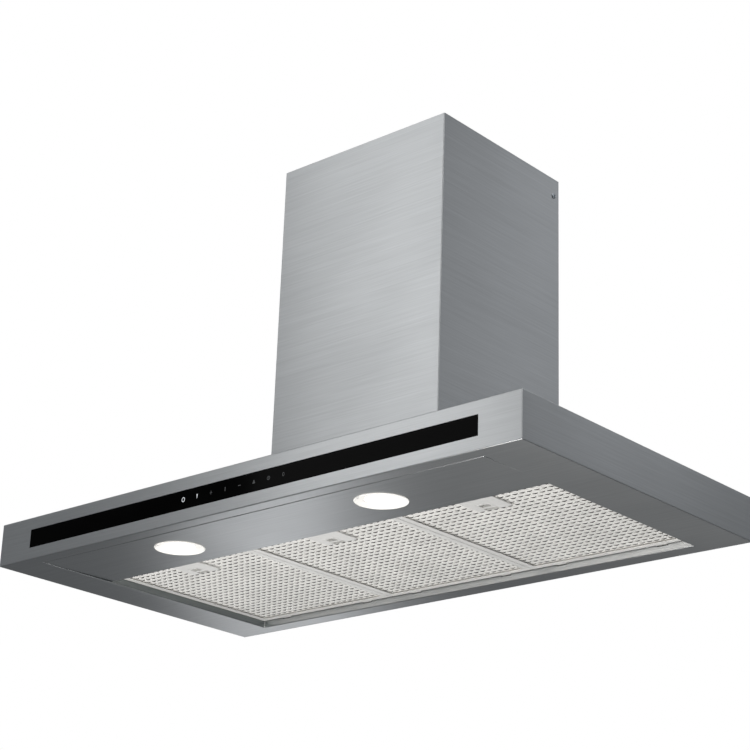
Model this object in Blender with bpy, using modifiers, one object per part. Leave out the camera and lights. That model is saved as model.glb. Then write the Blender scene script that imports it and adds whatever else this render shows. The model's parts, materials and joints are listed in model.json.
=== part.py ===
"""Wall-mounted chimney range hood: a flat canopy with three hinged grease filters, a blower and a
telescopic chimney cover.

Metres, +Z up. The origin is the centre of the canopy's rear face, where it meets the wall: the front
of the hood looks along -Y, and +X is to the right of someone facing the wall.
"""

import math

import bmesh
import bpy
from mathutils import Euler, Quaternion, Vector

# ---------------------------------------------------------------- driving dimensions

CANOPY_WIDTH = 0.900
CANOPY_DEPTH = 0.480
CANOPY_HEIGHT = 0.060
CHIMNEY_WIDTH = 0.300
CHIMNEY_DEPTH = 0.265
CHIMNEY_HEIGHT = 0.540
SHEET = 0.0010
GAP = 0.0003
OVERSHOOT = 0.0100  # how far a cutter reaches past what it cuts
SLOT_REACH = 0.0040  # the same in the narrow recess

HALF_WIDTH = CANOPY_WIDTH / 2
FRONT = -CANOPY_DEPTH
TOP = CANOPY_HEIGHT / 2
BOTTOM = -TOP
BACK_PANEL_THICKNESS = 0.0012
SHELL_BACK = -BACK_PANEL_THICKNESS - GAP
KEYHOLE_X = 0.3000
KEYHOLE_Z = -0.0040
KEYHOLE_RADIUS = 0.0055
KEYHOLE_NECK = 0.0028
KEYHOLE_TOP = 0.0100
HANGER_X = 0.4000
HANGER_REACH = 0.0300
HANGER_THICKNESS = 0.0015

# Underside: a recess for the light panel and the filters, with a flat border round it.
RECESS_HALF_WIDTH = 0.3805
RECESS_FRONT = FRONT + 0.0210
RECESS_BACK = -0.0270
RECESS_WALL_TOP = BOTTOM + 0.0240

# Light panel: fills the front of the recess and rises a little towards its back edge.
PANEL_SEAM = 0.0006
PANEL_FRONT = RECESS_FRONT + PANEL_SEAM
PANEL_BACK = FRONT + 0.1475
PANEL_RISE = 0.0021
PANEL_FLANGE_TOP = BOTTOM + 0.0180

# Touch control: a glass strip let into the canopy's front face.
GLASS_HALF_WIDTH = 0.3880
GLASS_LOW = BOTTOM + 0.0168
GLASS_HIGH = BOTTOM + 0.0426
GLASS_THICKNESS = 0.0030
KEY_COUNT = 8
KEY_PITCH = 0.0250
BOARD_THICKNESS = 0.0016

LAMP_X = 0.1760
LAMP_Y = FRONT + 0.0810
LAMP_RADIUS = 0.03375
LENS_RADIUS = 0.0204
LAMP_HOLE_RADIUS = 0.0310

FILTER_COUNT = 3
FILTER_PITCH = 2 * RECESS_HALF_WIDTH / FILTER_COUNT
FILTER_HALF_WIDTH = 0.1263
FILTER_FRONT = PANEL_BACK + 0.0008
FILTER_BACK = RECESS_BACK - 0.0020
FILTER_LOW = BOTTOM + 0.0097
FILTER_THICKNESS = 0.0088
FILTER_HIGH = FILTER_LOW + FILTER_THICKNESS
FILTER_BORDER = 0.0090
TAB_OFFSET = 0.0800
TAB_HALF_WIDTH = 0.0080
TAB_THICKNESS = 0.0010
HINGE_Y = RECESS_BACK + SHEET / 2
HINGE_Z = FILTER_LOW + TAB_THICKNESS / 2

# Catch housing, window and slide, about a filter's own centre line.
HOUSING_LEFT = -0.0270
HOUSING_RIGHT = 0.0250
HOUSING_BACK = FILTER_FRONT + 0.0597
CATCH_LEFT = -0.0147
CATCH_RIGHT = 0.0047
CATCH_WINDOW_FRONT = HOUSING_BACK - 0.0250
CATCH_WINDOW_BACK = HOUSING_BACK - 0.0010
CATCH_BACK = CATCH_WINDOW_BACK - 0.0063
CATCH_TIP = FILTER_FRONT - 0.0053
CATCH_BAR_LOW = FILTER_LOW + 0.0014
CATCH_BAR_HIGH = FILTER_LOW + 0.0044
SPRING_FRONT = FILTER_FRONT + 0.0060
SPRING_BACK = FILTER_FRONT + 0.0260
SPRING_RADIUS = 0.0020
SPRING_WIRE = 0.0003
SPRING_TURNS = 6

# Blower: a drum impeller on a cross shaft, in a scroll that blows upwards.
BLOWER_HALF_WIDTH = 0.1220
BLOWER_FRONT = -0.2450
BLOWER_BACK = -0.0200
BLOWER_TOP = 0.2320
AIR_OPENING_HALF_WIDTH = 0.1120
AIR_OPENING_FRONT = -0.2330
AIR_OPENING_BACK = -0.0320
FAN_Y = -0.1215
FAN_Z = 0.1400
FAN_RADIUS = 0.0700
FAN_HALF_WIDTH = 0.0600
FAN_INNER_RADIUS = 0.0570
BLADE_COUNT = 24
SCROLL_HALF_WIDTH = 0.0700
SCROLL_WALL = 0.0020
SCROLL_TIGHT_RADIUS = 0.0800
SCROLL_WIDE_RADIUS = 0.1150
SCROLL_START_ANGLE = math.radians(80)
SCROLL_END_ANGLE = math.radians(-180)
SCROLL_TOP = BLOWER_TOP - SHEET - 0.0020
INLET_RADIUS = 0.0560
SHAFT_RADIUS = 0.0040
MOTOR_RADIUS = 0.0410
MOTOR_LEFT = -0.0920
MOTOR_RIGHT = -0.0160

# Outlet collar for a 150 mm duct, with two damper flaps.
COLLAR_Y = -0.1635
COLLAR_RADIUS = 0.0750
COLLAR_WALL = 0.0014
COLLAR_HEIGHT = 0.0530
COLLAR_LOW = BLOWER_TOP + GAP
DUCT_HOLE_RADIUS = 0.0700
FLAP_Z = COLLAR_LOW + 0.0240
FLAP_PIVOT = 0.0045
FLAP_RADIUS = 0.0715
FLAP_THICKNESS = 0.0012
FLAP_PIN_RADIUS = 0.0015

# Chimney cover: the outer section stands on the canopy, the inner one slides up out of it.
CHIMNEY_LOW = TOP + GAP
CHIMNEY_TOP = TOP + CHIMNEY_HEIGHT
INNER_HALF_WIDTH = CHIMNEY_WIDTH / 2 - 0.0035
INNER_FRONT = -CHIMNEY_DEPTH + 0.0030
INNER_BACK = -0.0240
INNER_LOW = TOP + 0.0005
INNER_TOP = CHIMNEY_TOP - 0.0065
SCREW_Y = -0.0130
SCREW_Z = CHIMNEY_TOP - 0.0280

# Mains inlet gland on the blower box.
GLAND_PLACE = (0.0980, -0.0750)
GLAND_NECK = 0.0080

# Control box above the light panel.
BOX_HALF_WIDTH = 0.0750
BOX_FRONT = -0.4470
BOX_BACK = -0.3630
BOX_LOW = -0.0060
BOX_HIGH = TOP - 0.0016
BOX_WALL = 0.0020
BOARD_LOW = 0.0200
LEAD_Z = 0.0140
LEAD_Y = -0.4000

# ---------------------------------------------------------------- finishes

# name: colour, metallic, roughness
FINISHES = {
    "stainless": ((0.55, 0.57, 0.58), 1.0, 0.34),
    "galvanised": ((0.52, 0.55, 0.57), 1.0, 0.45),
    "filter_aluminium": ((0.80, 0.80, 0.79), 1.0, 0.35),
    "cast_aluminium": ((0.45, 0.46, 0.47), 1.0, 0.50),
    "spring_steel": ((0.50, 0.50, 0.50), 1.0, 0.30),
    "black_glass": ((0.01, 0.01, 0.012), 0.0, 0.06),
    "black_plastic": ((0.03, 0.03, 0.032), 0.0, 0.45),
    "grey_plastic": ((0.30, 0.31, 0.32), 0.0, 0.50),
    "white_plastic": ((0.80, 0.80, 0.78), 0.0, 0.40),
    "satin_ring": ((0.82, 0.82, 0.80), 0.6, 0.30),
    "frosted_lens": ((0.95, 0.95, 0.93), 0.0, 0.25),
    "circuit_board": ((0.02, 0.16, 0.07), 0.0, 0.45),
    "lead_sleeve": ((0.55, 0.55, 0.56), 0.0, 0.55),
}


def finish(name):
    """The Principled material of a finish, made the first time that it is asked for."""
    material = bpy.data.materials.get(name)
    if material is None:
        colour, metallic, roughness = FINISHES[name]
        material = bpy.data.materials.new(name)
        material.use_nodes = True
        shader = material.node_tree.nodes["Principled BSDF"]
        shader.inputs["Base Color"].default_value = (*colour, 1.0)
        shader.inputs["Metallic"].default_value = metallic
        shader.inputs["Roughness"].default_value = roughness
    return material


# ---------------------------------------------------------------- modelling helpers


def clear_scene():
    for obj in list(bpy.data.objects):
        bpy.data.objects.remove(obj)


def make_collection(name):
    collection = bpy.data.collections.new(name)
    bpy.context.scene.collection.children.link(collection)
    return collection


def add_object(name, data, location=(0, 0, 0), rotation=(0, 0, 0)):
    """An object in the cutters collection, where it stays unless part() takes it."""
    obj = bpy.data.objects.new(name, data)
    obj.location = location
    obj.rotation_euler = rotation
    obj.hide_render = True
    obj.display_type = "WIRE"
    bpy.data.collections["cutters"].objects.link(obj)
    return obj


def part(obj, finish_name, parent=None):
    """Makes a shape one of the hood's nodes; its place is counted from its parent empty."""
    bpy.data.collections["cutters"].objects.unlink(obj)
    bpy.data.collections["range_hood"].objects.link(obj)
    obj.hide_render = False
    obj.display_type = "TEXTURED"
    obj.data.materials.append(finish(finish_name))
    if parent is not None:
        obj.location = obj.location - parent.location
        obj.parent = parent
    return obj


def joint_empty(name, location, rotation=(0, 0, 0)):
    empty = add_object(name, None, location, rotation)
    empty.empty_display_size = 0.02
    return empty


def mesh_from(name, build):
    """A mesh filled by build(bmesh)."""
    mesh = bpy.data.meshes.new(name)
    work = bmesh.new()
    build(work)
    work.to_mesh(mesh)
    work.free()
    return mesh


def block(name, low, high):
    """A box between two corners, with its origin at its centre."""
    low = Vector(low)
    high = Vector(high)

    def build(work):
        bmesh.ops.create_cube(work, size=1.0)
        bmesh.ops.scale(work, vec=high - low, verts=work.verts)

    return add_object(name, mesh_from(name, build), (low + high) / 2)


def tray(name, low, high, open_sides, thickness=SHEET):
    """A box of sheet between two corners, open on the sides whose outward normals are listed."""
    low = Vector(low)
    high = Vector(high)

    def build(work):
        bmesh.ops.create_cube(work, size=1.0)
        bmesh.ops.scale(work, vec=high - low, verts=work.verts)
        gone = [face for face in work.faces if any(face.normal.dot(Vector(s)) > 0.9 for s in open_sides)]
        bmesh.ops.delete(work, geom=gone, context="FACES")

    obj = add_object(name, mesh_from(name, build), (low + high) / 2)
    thicken(obj, thickness)
    return obj


def thicken(obj, thickness):
    """Solidify away from the side that the faces look to."""
    solidify = obj.modifiers.new("sheet", "SOLIDIFY")
    solidify.thickness = thickness
    solidify.offset = -1.0
    solidify.use_even_offset = True


def folded_sheet(name, path, low, high, thickness=SHEET):
    """Sheet folded along upright lines; path is its outer outline in XY, with its inside on the left."""

    def build(work):
        rows = [[work.verts.new((x, y, z)) for x, y in path] for z in (low, high)]
        for i in range(len(path) - 1):
            work.faces.new((rows[0][i], rows[0][i + 1], rows[1][i + 1], rows[1][i]))

    obj = add_object(name, mesh_from(name, build))
    thicken(obj, thickness)
    return obj


def drum(name, radius, low, high, centre, axis="Z", sides=32):
    """A cylinder from low to high along an axis; centre gives its other two coordinates in X, Y, Z order."""
    height = high - low
    middle = (low + high) / 2
    turn = {"X": (0, math.pi / 2, 0), "Y": (math.pi / 2, 0, 0), "Z": (0, 0, 0)}[axis]
    place = list(centre)
    place.insert("XYZ".index(axis), middle)

    def build(work):
        bmesh.ops.create_cone(
            work, cap_ends=True, segments=sides, radius1=radius, radius2=radius, depth=height
        )

    obj = add_object(name, mesh_from(name, build), place, turn)
    smooth(obj)
    return obj


def smooth(obj):
    obj.data.shade_smooth()
    obj.data.set_sharp_from_angle(angle=math.radians(35))


def turned(name, profile, closed, location=(0, 0, 0), rotation=(0, 0, 0), steps=40):
    """A lathe shape about local Z. The profile of (radius, z) points runs down its outer side."""

    def build(work):
        points = [work.verts.new((r, 0, z)) for r, z in profile]
        ends = zip(points, points[1:] + points[:1]) if closed else zip(points, points[1:])
        for a, b in ends:
            work.edges.new((a, b))

    obj = add_object(name, mesh_from(name, build), location, rotation)
    screw = obj.modifiers.new("lathe", "SCREW")
    screw.steps = steps
    screw.render_steps = steps
    screw.use_merge_vertices = True
    screw.merge_threshold = 0.00001
    return obj


def extruded(name, outline, depth, location=(0, 0, 0), rotation=(0, 0, 0)):
    """A flat outline in local XY, given half of depth to each side along local Z, as a mesh."""
    curve = bpy.data.curves.new(name, "CURVE")
    curve.dimensions = "2D"
    curve.fill_mode = "BOTH"
    curve.extrude = depth / 2
    spline = curve.splines.new("POLY")
    spline.points.add(len(outline) - 1)
    for point, (x, y) in zip(spline.points, outline):
        point.co = (x, y, 0, 1)
    spline.use_cyclic_u = True
    return meshed(add_object(name + "_outline", curve, location, rotation), name)


def meshed(curve_object, name):
    """The welded mesh of a curve object, in its place; the curve itself is removed."""
    bpy.context.view_layer.update()
    graph = bpy.context.evaluated_depsgraph_get()
    mesh = bpy.data.meshes.new_from_object(curve_object.evaluated_get(graph))
    work = bmesh.new()
    work.from_mesh(mesh)
    bmesh.ops.remove_doubles(work, verts=work.verts, dist=0.00001)
    bmesh.ops.recalc_face_normals(work, faces=work.faces)
    work.to_mesh(mesh)
    work.free()
    mesh.name = name
    obj = add_object(name, mesh, curve_object.location.copy(), curve_object.rotation_euler.copy())
    bpy.data.objects.remove(curve_object)
    return obj


def wire(name, points, radius, resolution):
    """A round wire through the points, capped."""
    curve = bpy.data.curves.new(name, "CURVE")
    curve.dimensions = "3D"
    curve.bevel_depth = radius
    curve.bevel_resolution = resolution
    curve.use_fill_caps = True
    spline = curve.splines.new("POLY")
    spline.points.add(len(points) - 1)
    for point, place in zip(spline.points, points):
        point.co = (*place, 1)
    return add_object(name, curve)


def smooth_route(route, spacing):
    """Points about spacing apart on a Catmull-Rom curve through the route's points."""
    route = [Vector(point) for point in route]
    ends = [2 * route[0] - route[1]] + route + [2 * route[-1] - route[-2]]
    points = [route[0]]
    for p0, p1, p2, p3 in zip(ends, ends[1:], ends[2:], ends[3:]):
        count = max(2, round((p2 - p1).length / spacing))
        for k in range(1, count + 1):
            t = k / count
            points.append(
                0.5 * (2 * p1 + (p2 - p0) * t + (2 * p0 - 5 * p1 + 4 * p2 - p3) * t**2
                       + (3 * p1 - p0 - 3 * p2 + p3) * t**3)
            )
    return points


def combine(target, tool, operation):
    boolean = target.modifiers.new(tool.name, "BOOLEAN")
    boolean.operation = operation
    boolean.solver = "EXACT"
    boolean.object = tool
    return target


def cut(target, *tools):
    for tool in tools:
        combine(target, tool, "DIFFERENCE")
    return target


def fuse(target, *tools):
    for tool in tools:
        combine(target, tool, "UNION")
    return target


def ring_points(radius, start, end, count, centre=(0, 0)):
    """Points on an arc, both ends included."""
    angles = [start + (end - start) * k / (count - 1) for k in range(count)]
    return [(centre[0] + radius * math.cos(a), centre[1] + radius * math.sin(a)) for a in angles]


# ---------------------------------------------------------------- canopy


def make_canopy_shell():
    """Top, front and sides, folded from one sheet, with the glass window and the blower opening."""
    shell = tray(
        "canopy_shell",
        (-HALF_WIDTH, FRONT, BOTTOM),
        (HALF_WIDTH, SHELL_BACK, TOP),
        [(0, 0, -1), (0, 1, 0)],
    )
    window = block(
        "glass_window",
        (-GLASS_HALF_WIDTH, FRONT - OVERSHOOT, GLASS_LOW),
        (GLASS_HALF_WIDTH, FRONT + OVERSHOOT, GLASS_HIGH),
    )
    opening = block(
        "air_opening",
        (-AIR_OPENING_HALF_WIDTH, AIR_OPENING_FRONT, TOP - OVERSHOOT),
        (AIR_OPENING_HALF_WIDTH, AIR_OPENING_BACK, TOP + OVERSHOOT),
    )
    part(cut(shell, window, opening), "stainless")


def make_underside_frame():
    """The flat border round the recess, with the recess walls standing on it."""
    inset = SHEET + GAP
    frame = block(
        "underside_frame",
        (-HALF_WIDTH + inset, FRONT + inset, BOTTOM),
        (HALF_WIDTH - inset, SHELL_BACK, BOTTOM + SHEET),
    )
    walls = block(
        "recess_walls",
        (-RECESS_HALF_WIDTH - SHEET, RECESS_FRONT - SHEET, BOTTOM + SHEET / 2),
        (RECESS_HALF_WIDTH + SHEET, RECESS_BACK + SHEET, RECESS_WALL_TOP),
    )
    opening = block(
        "recess_opening",
        (-RECESS_HALF_WIDTH, RECESS_FRONT, BOTTOM - OVERSHOOT),
        (RECESS_HALF_WIDTH, RECESS_BACK, TOP),
    )
    cut(fuse(frame, walls), opening)
    slot_half_height = 0.0022
    slot_half_width = TAB_HALF_WIDTH + 0.0005
    for index in range(FILTER_COUNT):
        for side in (-1, 1):
            middle = filter_centre(index) + side * TAB_OFFSET
            slot = block(
                f"tab_slot_{index}_{'left' if side < 0 else 'right'}",
                (middle - slot_half_width, RECESS_BACK - SLOT_REACH, HINGE_Z - slot_half_height),
                (middle + slot_half_width, RECESS_BACK + SLOT_REACH, HINGE_Z + slot_half_height),
            )
            cut(frame, slot)
    part(frame, "stainless")


def make_back_panel():
    """The wall side of the canopy, with two keyhole slots that hang it on wall screws."""
    panel = block("back_panel", (-HALF_WIDTH, -BACK_PANEL_THICKNESS, BOTTOM), (HALF_WIDTH, 0.0, TOP))
    for side, name in ((-1, "left"), (1, "right")):
        x = side * KEYHOLE_X
        head = drum(
            f"keyhole_head_{name}", KEYHOLE_RADIUS, -OVERSHOOT, OVERSHOOT, (x, KEYHOLE_Z), "Y", 20
        )
        neck = block(
            f"keyhole_neck_{name}",
            (x - KEYHOLE_NECK, -OVERSHOOT, KEYHOLE_Z),
            (x + KEYHOLE_NECK, OVERSHOOT, KEYHOLE_TOP),
        )
        cut(panel, head, neck)
    part(panel, "galvanised")


def make_canopy_hangers():
    """Two angle brackets in the canopy's rear corners, which carry the keyholes' load."""
    back = SHELL_BACK - 0.0001
    hole_x = HANGER_X + 0.0200
    hole_z = 0.0050
    hole_radius = 0.0030
    for side, name in ((-1, "left"), (1, "right")):
        inner = side * HANGER_X
        outer = side * (HALF_WIDTH - SHEET - GAP)
        path = [(inner, back), (outer, back), (outer, -HANGER_REACH)]
        if side > 0:
            path.reverse()
        hanger = folded_sheet(f"canopy_hanger_{name}", path, -0.0200, 0.0250, HANGER_THICKNESS)
        hole = drum(
            f"hanger_hole_{name}", hole_radius, -OVERSHOOT, OVERSHOOT, (side * hole_x, hole_z), "Y", 20
        )
        part(cut(hanger, hole), "galvanised")


def make_light_panel():
    """The shallow tray that holds the lamps; its bottom rises towards the back flange."""
    half_width = RECESS_HALF_WIDTH - PANEL_SEAM
    panel = tray(
        "light_panel",
        (-half_width, PANEL_FRONT, BOTTOM),
        (half_width, PANEL_BACK, PANEL_FLANGE_TOP),
        [(0, 0, 1)],
    )
    for vertex in panel.data.vertices:
        if vertex.co.y > 0 and vertex.co.z < 0:
            vertex.co.z += PANEL_RISE
    for side, name in ((-1, "left"), (1, "right")):
        hole = drum(
            f"lamp_hole_{name}",
            LAMP_HOLE_RADIUS,
            BOTTOM - OVERSHOOT,
            BOTTOM + OVERSHOOT,
            (side * LAMP_X, LAMP_Y),
            "Z",
            40,
        )
        cut(panel, hole)
    play = 0.0004
    for index in range(FILTER_COUNT):
        middle = filter_centre(index)
        keeper = block(
            f"keeper_slot_{index}",
            (middle + CATCH_LEFT - play, PANEL_BACK - SLOT_REACH, CATCH_BAR_LOW - play),
            (middle + CATCH_RIGHT + play, PANEL_BACK + SLOT_REACH, CATCH_BAR_HIGH + play),
        )
        cut(panel, keeper)
    part(panel, "stainless")


def make_filter_rails():
    """Flat strips above the seams between the filters, which stop them at the top."""
    half_width = 0.0100
    low = FILTER_HIGH + 0.0005
    for index, name in enumerate(("left", "right")):
        seam = (index - 0.5) * FILTER_PITCH
        rail = block(
            f"filter_rail_{name}",
            (seam - half_width, PANEL_BACK + GAP, low),
            (seam + half_width, RECESS_BACK - GAP, low + SHEET),
        )
        part(rail, "galvanised")


# ---------------------------------------------------------------- touch control


def make_control():
    """The glass strip, the plastic carrier that holds it, and the touch board behind it."""
    glass = block(
        "control_glass",
        (-GLASS_HALF_WIDTH + GAP, FRONT, GLASS_LOW + GAP),
        (GLASS_HALF_WIDTH - GAP, FRONT + GLASS_THICKNESS, GLASS_HIGH - GAP),
    )
    part(glass, "black_glass")

    carrier_front = FRONT + SHEET + GAP
    carrier_half = GLASS_HALF_WIDTH + 0.0070
    play = 0.0002
    carrier = block(
        "control_carrier",
        (-carrier_half, carrier_front, -0.0200),
        (carrier_half, carrier_front + 0.0040, 0.0190),
    )
    pocket = block(
        "glass_pocket",
        (-GLASS_HALF_WIDTH - play, FRONT - SHEET, GLASS_LOW - play),
        (GLASS_HALF_WIDTH + play, FRONT + GLASS_THICKNESS + GAP, GLASS_HIGH + play),
    )
    board_half = 0.1080
    window = block(
        "board_window",
        (-board_half - 0.0020, FRONT, -0.0100),
        (board_half + 0.0020, FRONT + 2 * OVERSHOOT, 0.0090),
    )
    part(cut(carrier, pocket, window), "black_plastic")

    board_front = FRONT + GLASS_THICKNESS + 0.0005
    board_back = board_front + BOARD_THICKNESS
    seat = board_back - 0.0005
    board = block(
        "control_board", (-board_half, board_front, -0.0090), (board_half, board_back, 0.0080)
    )
    chip_half = 0.0030
    for index in range(KEY_COUNT):
        x = (index - (KEY_COUNT - 1) / 2) * KEY_PITCH
        chip = block(
            f"key_chip_{index}",
            (x - chip_half, seat, -chip_half),
            (x + chip_half, board_back + 0.0012, chip_half),
        )
        fuse(board, chip)
    socket = block("board_socket", (-0.0060, seat, 0.0035), (0.0060, board_back + 0.0050, 0.0078))
    part(fuse(board, socket), "circuit_board")


# ---------------------------------------------------------------- lamps


def make_lamps():
    """Recessed LED spots, tilted with the light panel: cone, lens and finned body."""
    slope = math.atan2(PANEL_RISE, PANEL_BACK - PANEL_FRONT)
    height = BOTTOM + PANEL_RISE * (LAMP_Y - PANEL_FRONT) / (PANEL_BACK - PANEL_FRONT)
    fins = 3
    fin_pitch = 0.0048
    body_top = 0.0215
    body_low = 0.0064
    fin_radius = 0.0265
    core_radius = 0.0200
    body_profile = [(0.0, body_top), (fin_radius, body_top)]
    for index in range(fins):
        top = body_top - index * fin_pitch
        body_profile += [
            (fin_radius, top - 0.0014),
            (core_radius, top - 0.0014),
            (core_radius, top - fin_pitch + 0.0004),
            (fin_radius, top - fin_pitch + 0.0004),
        ]
    body_profile += [(fin_radius, body_low), (0.0, body_low)]
    bezel_profile = [
        (0.0305, 0.0060),
        (0.0305, -GAP),
        (LAMP_RADIUS, -GAP),
        (LAMP_RADIUS, -0.0007),
        (LAMP_RADIUS - 0.0008, -0.0011),
        (LENS_RADIUS + 0.0004, 0.0012),
        (LENS_RADIUS + 0.0004, 0.0060),
    ]
    lens_profile = [
        (0.0, 0.0036),
        (LENS_RADIUS, 0.0036),
        (LENS_RADIUS, 0.0014),
        (LENS_RADIUS * 0.66, 0.0009),
        (LENS_RADIUS * 0.33, 0.0007),
        (0.0, 0.0006),
    ]
    for side, name in ((-1, "left"), (1, "right")):
        seat = joint_empty(f"lamp_seat_{name}", (side * LAMP_X, LAMP_Y, height), (slope, 0, 0))
        pieces = (
            (turned(f"lamp_bezel_{name}", bezel_profile, True, steps=36), "satin_ring"),
            (turned(f"lamp_lens_{name}", lens_profile, False, steps=32), "frosted_lens"),
            (turned(f"lamp_body_{name}", body_profile, False, steps=28), "cast_aluminium"),
        )
        for piece, finish_name in pieces:
            part(piece, finish_name)
            piece.parent = seat


# ---------------------------------------------------------------- filters


def filter_centre(index):
    return (index - (FILTER_COUNT - 1) / 2) * FILTER_PITCH


def make_filter(index, name):
    """One grease filter: channel frame with the catch housing, mesh pack, sprung catch."""
    middle = filter_centre(index)
    hinge = joint_empty(f"filter_hinge_{name}", (middle, HINGE_Y, HINGE_Z))
    low_x = middle - FILTER_HALF_WIDTH
    high_x = middle + FILTER_HALF_WIDTH

    frame = block(
        f"filter_frame_{name}", (low_x, FILTER_FRONT, FILTER_LOW), (high_x, FILTER_BACK, FILTER_HIGH)
    )
    inside = block(
        f"filter_inside_{name}",
        (low_x + FILTER_BORDER, FILTER_FRONT + FILTER_BORDER, FILTER_LOW - OVERSHOOT),
        (high_x - FILTER_BORDER, FILTER_BACK - FILTER_BORDER, FILTER_HIGH + OVERSHOOT),
    )
    grip = FILTER_BORDER - 0.0030
    groove = block(
        f"filter_groove_{name}",
        (low_x + grip, FILTER_FRONT + grip, FILTER_LOW + 0.0010),
        (high_x - grip, FILTER_BACK - grip, FILTER_LOW + 0.0038),
    )
    housing = block(
        f"catch_housing_{name}",
        (middle + HOUSING_LEFT, FILTER_FRONT + 0.0002, FILTER_LOW),
        (middle + HOUSING_RIGHT, HOUSING_BACK, FILTER_HIGH),
    )
    cavity = block(
        f"catch_cavity_{name}",
        (middle + CATCH_LEFT - GAP, FILTER_FRONT - OVERSHOOT, FILTER_LOW + SHEET),
        (middle + CATCH_RIGHT + GAP, CATCH_WINDOW_BACK, FILTER_HIGH - SHEET),
    )
    window = block(
        f"catch_window_{name}",
        (middle + CATCH_LEFT - GAP, CATCH_WINDOW_FRONT, FILTER_LOW - OVERSHOOT),
        (middle + CATCH_RIGHT + GAP, CATCH_WINDOW_BACK, FILTER_LOW + 0.0020),
    )
    spring_x = middle + (CATCH_LEFT + CATCH_RIGHT) / 2
    lug = block(
        f"spring_lug_{name}",
        (spring_x - 0.0030, SPRING_BACK, CATCH_BAR_LOW + 0.0006),
        (spring_x + 0.0030, SPRING_BACK + 0.0017, FILTER_HIGH - 0.0005),
    )
    fuse(cut(frame, inside, groove), housing)
    fuse(cut(frame, cavity, window), lug)
    for side in (-1, 1):
        tab_x = middle + side * TAB_OFFSET
        tab = block(
            f"filter_tab_{name}_{'left' if side < 0 else 'right'}",
            (tab_x - TAB_HALF_WIDTH, FILTER_BACK - 0.0030, FILTER_LOW),
            (tab_x + TAB_HALF_WIDTH, HINGE_Y + 0.0060, FILTER_LOW + TAB_THICKNESS),
        )
        fuse(frame, tab)
    part(frame, "filter_aluminium", hinge)

    reach = grip + GAP
    mesh = block(
        f"filter_mesh_{name}",
        (low_x + reach, FILTER_FRONT + reach, FILTER_LOW + 0.0013),
        (high_x - reach, FILTER_BACK - reach, FILTER_LOW + 0.0035),
    )
    notch = block(
        f"mesh_notch_{name}",
        (middle + HOUSING_LEFT - GAP, FILTER_FRONT, FILTER_LOW),
        (middle + HOUSING_RIGHT + GAP, HOUSING_BACK + GAP, FILTER_HIGH),
    )
    part(cut(mesh, notch), "filter_aluminium", hinge)

    make_catch(name, middle, spring_x, hinge)


def make_catch(name, middle, spring_x, hinge):
    """The sliding catch: a flat bar with a finger pad, pushed forwards by a coil spring."""
    slide = joint_empty(f"catch_slide_{name}", (spring_x, CATCH_BACK, CATCH_BAR_LOW))
    slide.location = slide.location - hinge.location
    slide.parent = hinge

    catch = block(
        f"filter_catch_{name}",
        (middle + CATCH_LEFT, CATCH_TIP, CATCH_BAR_LOW),
        (middle + CATCH_RIGHT, CATCH_BACK, CATCH_BAR_HIGH),
    )
    pad = block(
        f"catch_pad_{name}",
        (middle + CATCH_LEFT, CATCH_WINDOW_FRONT + GAP, FILTER_LOW),
        (middle + CATCH_RIGHT, CATCH_BACK, CATCH_BAR_LOW + 0.0010),
    )
    finger_hole = block(
        f"finger_hole_{name}",
        (middle + CATCH_LEFT + 0.0025, CATCH_BACK - 0.0142, FILTER_LOW - OVERSHOOT),
        (middle + CATCH_RIGHT - 0.0025, CATCH_BACK - 0.0047, FILTER_HIGH),
    )
    spring_window = block(
        f"spring_window_{name}",
        (spring_x - 0.0034, SPRING_FRONT - GAP, FILTER_LOW),
        (spring_x + 0.0034, SPRING_BACK + 0.0020, FILTER_HIGH),
    )
    cut(fuse(catch, pad), finger_hole, spring_window)
    part(catch, "filter_aluminium")
    catch.location = catch.location - hinge.location - slide.location
    catch.parent = slide

    length = SPRING_BACK - SPRING_FRONT - 2 * GAP - 2 * SPRING_WIRE
    start = SPRING_FRONT + GAP + SPRING_WIRE
    height = CATCH_BAR_LOW + SPRING_RADIUS + 0.0007
    steps = 8
    coil = []
    for k in range(SPRING_TURNS * steps + 1):
        angle = 2 * math.pi * k / steps
        y = start + length * k / (SPRING_TURNS * steps)
        coil.append((spring_x + SPRING_RADIUS * math.cos(angle), y, height + SPRING_RADIUS * math.sin(angle)))
    spring = wire(f"catch_spring_{name}", coil, SPRING_WIRE, 0)
    part(spring, "spring_steel", hinge)


# ---------------------------------------------------------------- blower

ACROSS = (math.pi / 2, 0, math.pi / 2)  # turns a flat outline's X, Y, Z to the hood's Y, Z, X


def make_blower_box():
    """The sheet housing on the canopy's top, open below, with the duct hole and the gland hole."""
    box = tray(
        "blower_box",
        (-BLOWER_HALF_WIDTH, BLOWER_FRONT, TOP + GAP),
        (BLOWER_HALF_WIDTH, BLOWER_BACK, BLOWER_TOP),
        [(0, 0, -1)],
    )
    flange_width = 0.0110
    flange = block(
        "blower_flange",
        (-BLOWER_HALF_WIDTH - flange_width, BLOWER_FRONT - flange_width, TOP + GAP),
        (BLOWER_HALF_WIDTH + flange_width, BLOWER_BACK + flange_width, TOP + GAP + SHEET),
    )
    flange_opening = block(
        "blower_flange_opening",
        (-BLOWER_HALF_WIDTH + SHEET, BLOWER_FRONT + SHEET, TOP - OVERSHOOT),
        (BLOWER_HALF_WIDTH - SHEET, BLOWER_BACK - SHEET, TOP + OVERSHOOT),
    )
    low = BLOWER_TOP - OVERSHOOT
    high = BLOWER_TOP + OVERSHOOT
    duct_hole = drum("duct_hole", DUCT_HOLE_RADIUS, low, high, (0, COLLAR_Y), "Z", 40)
    gland_hole = drum("gland_hole", GLAND_NECK + 0.0004, low, high, GLAND_PLACE, "Z", 24)
    part(cut(fuse(box, flange), flange_opening, duct_hole, gland_hole), "galvanised")


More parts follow.
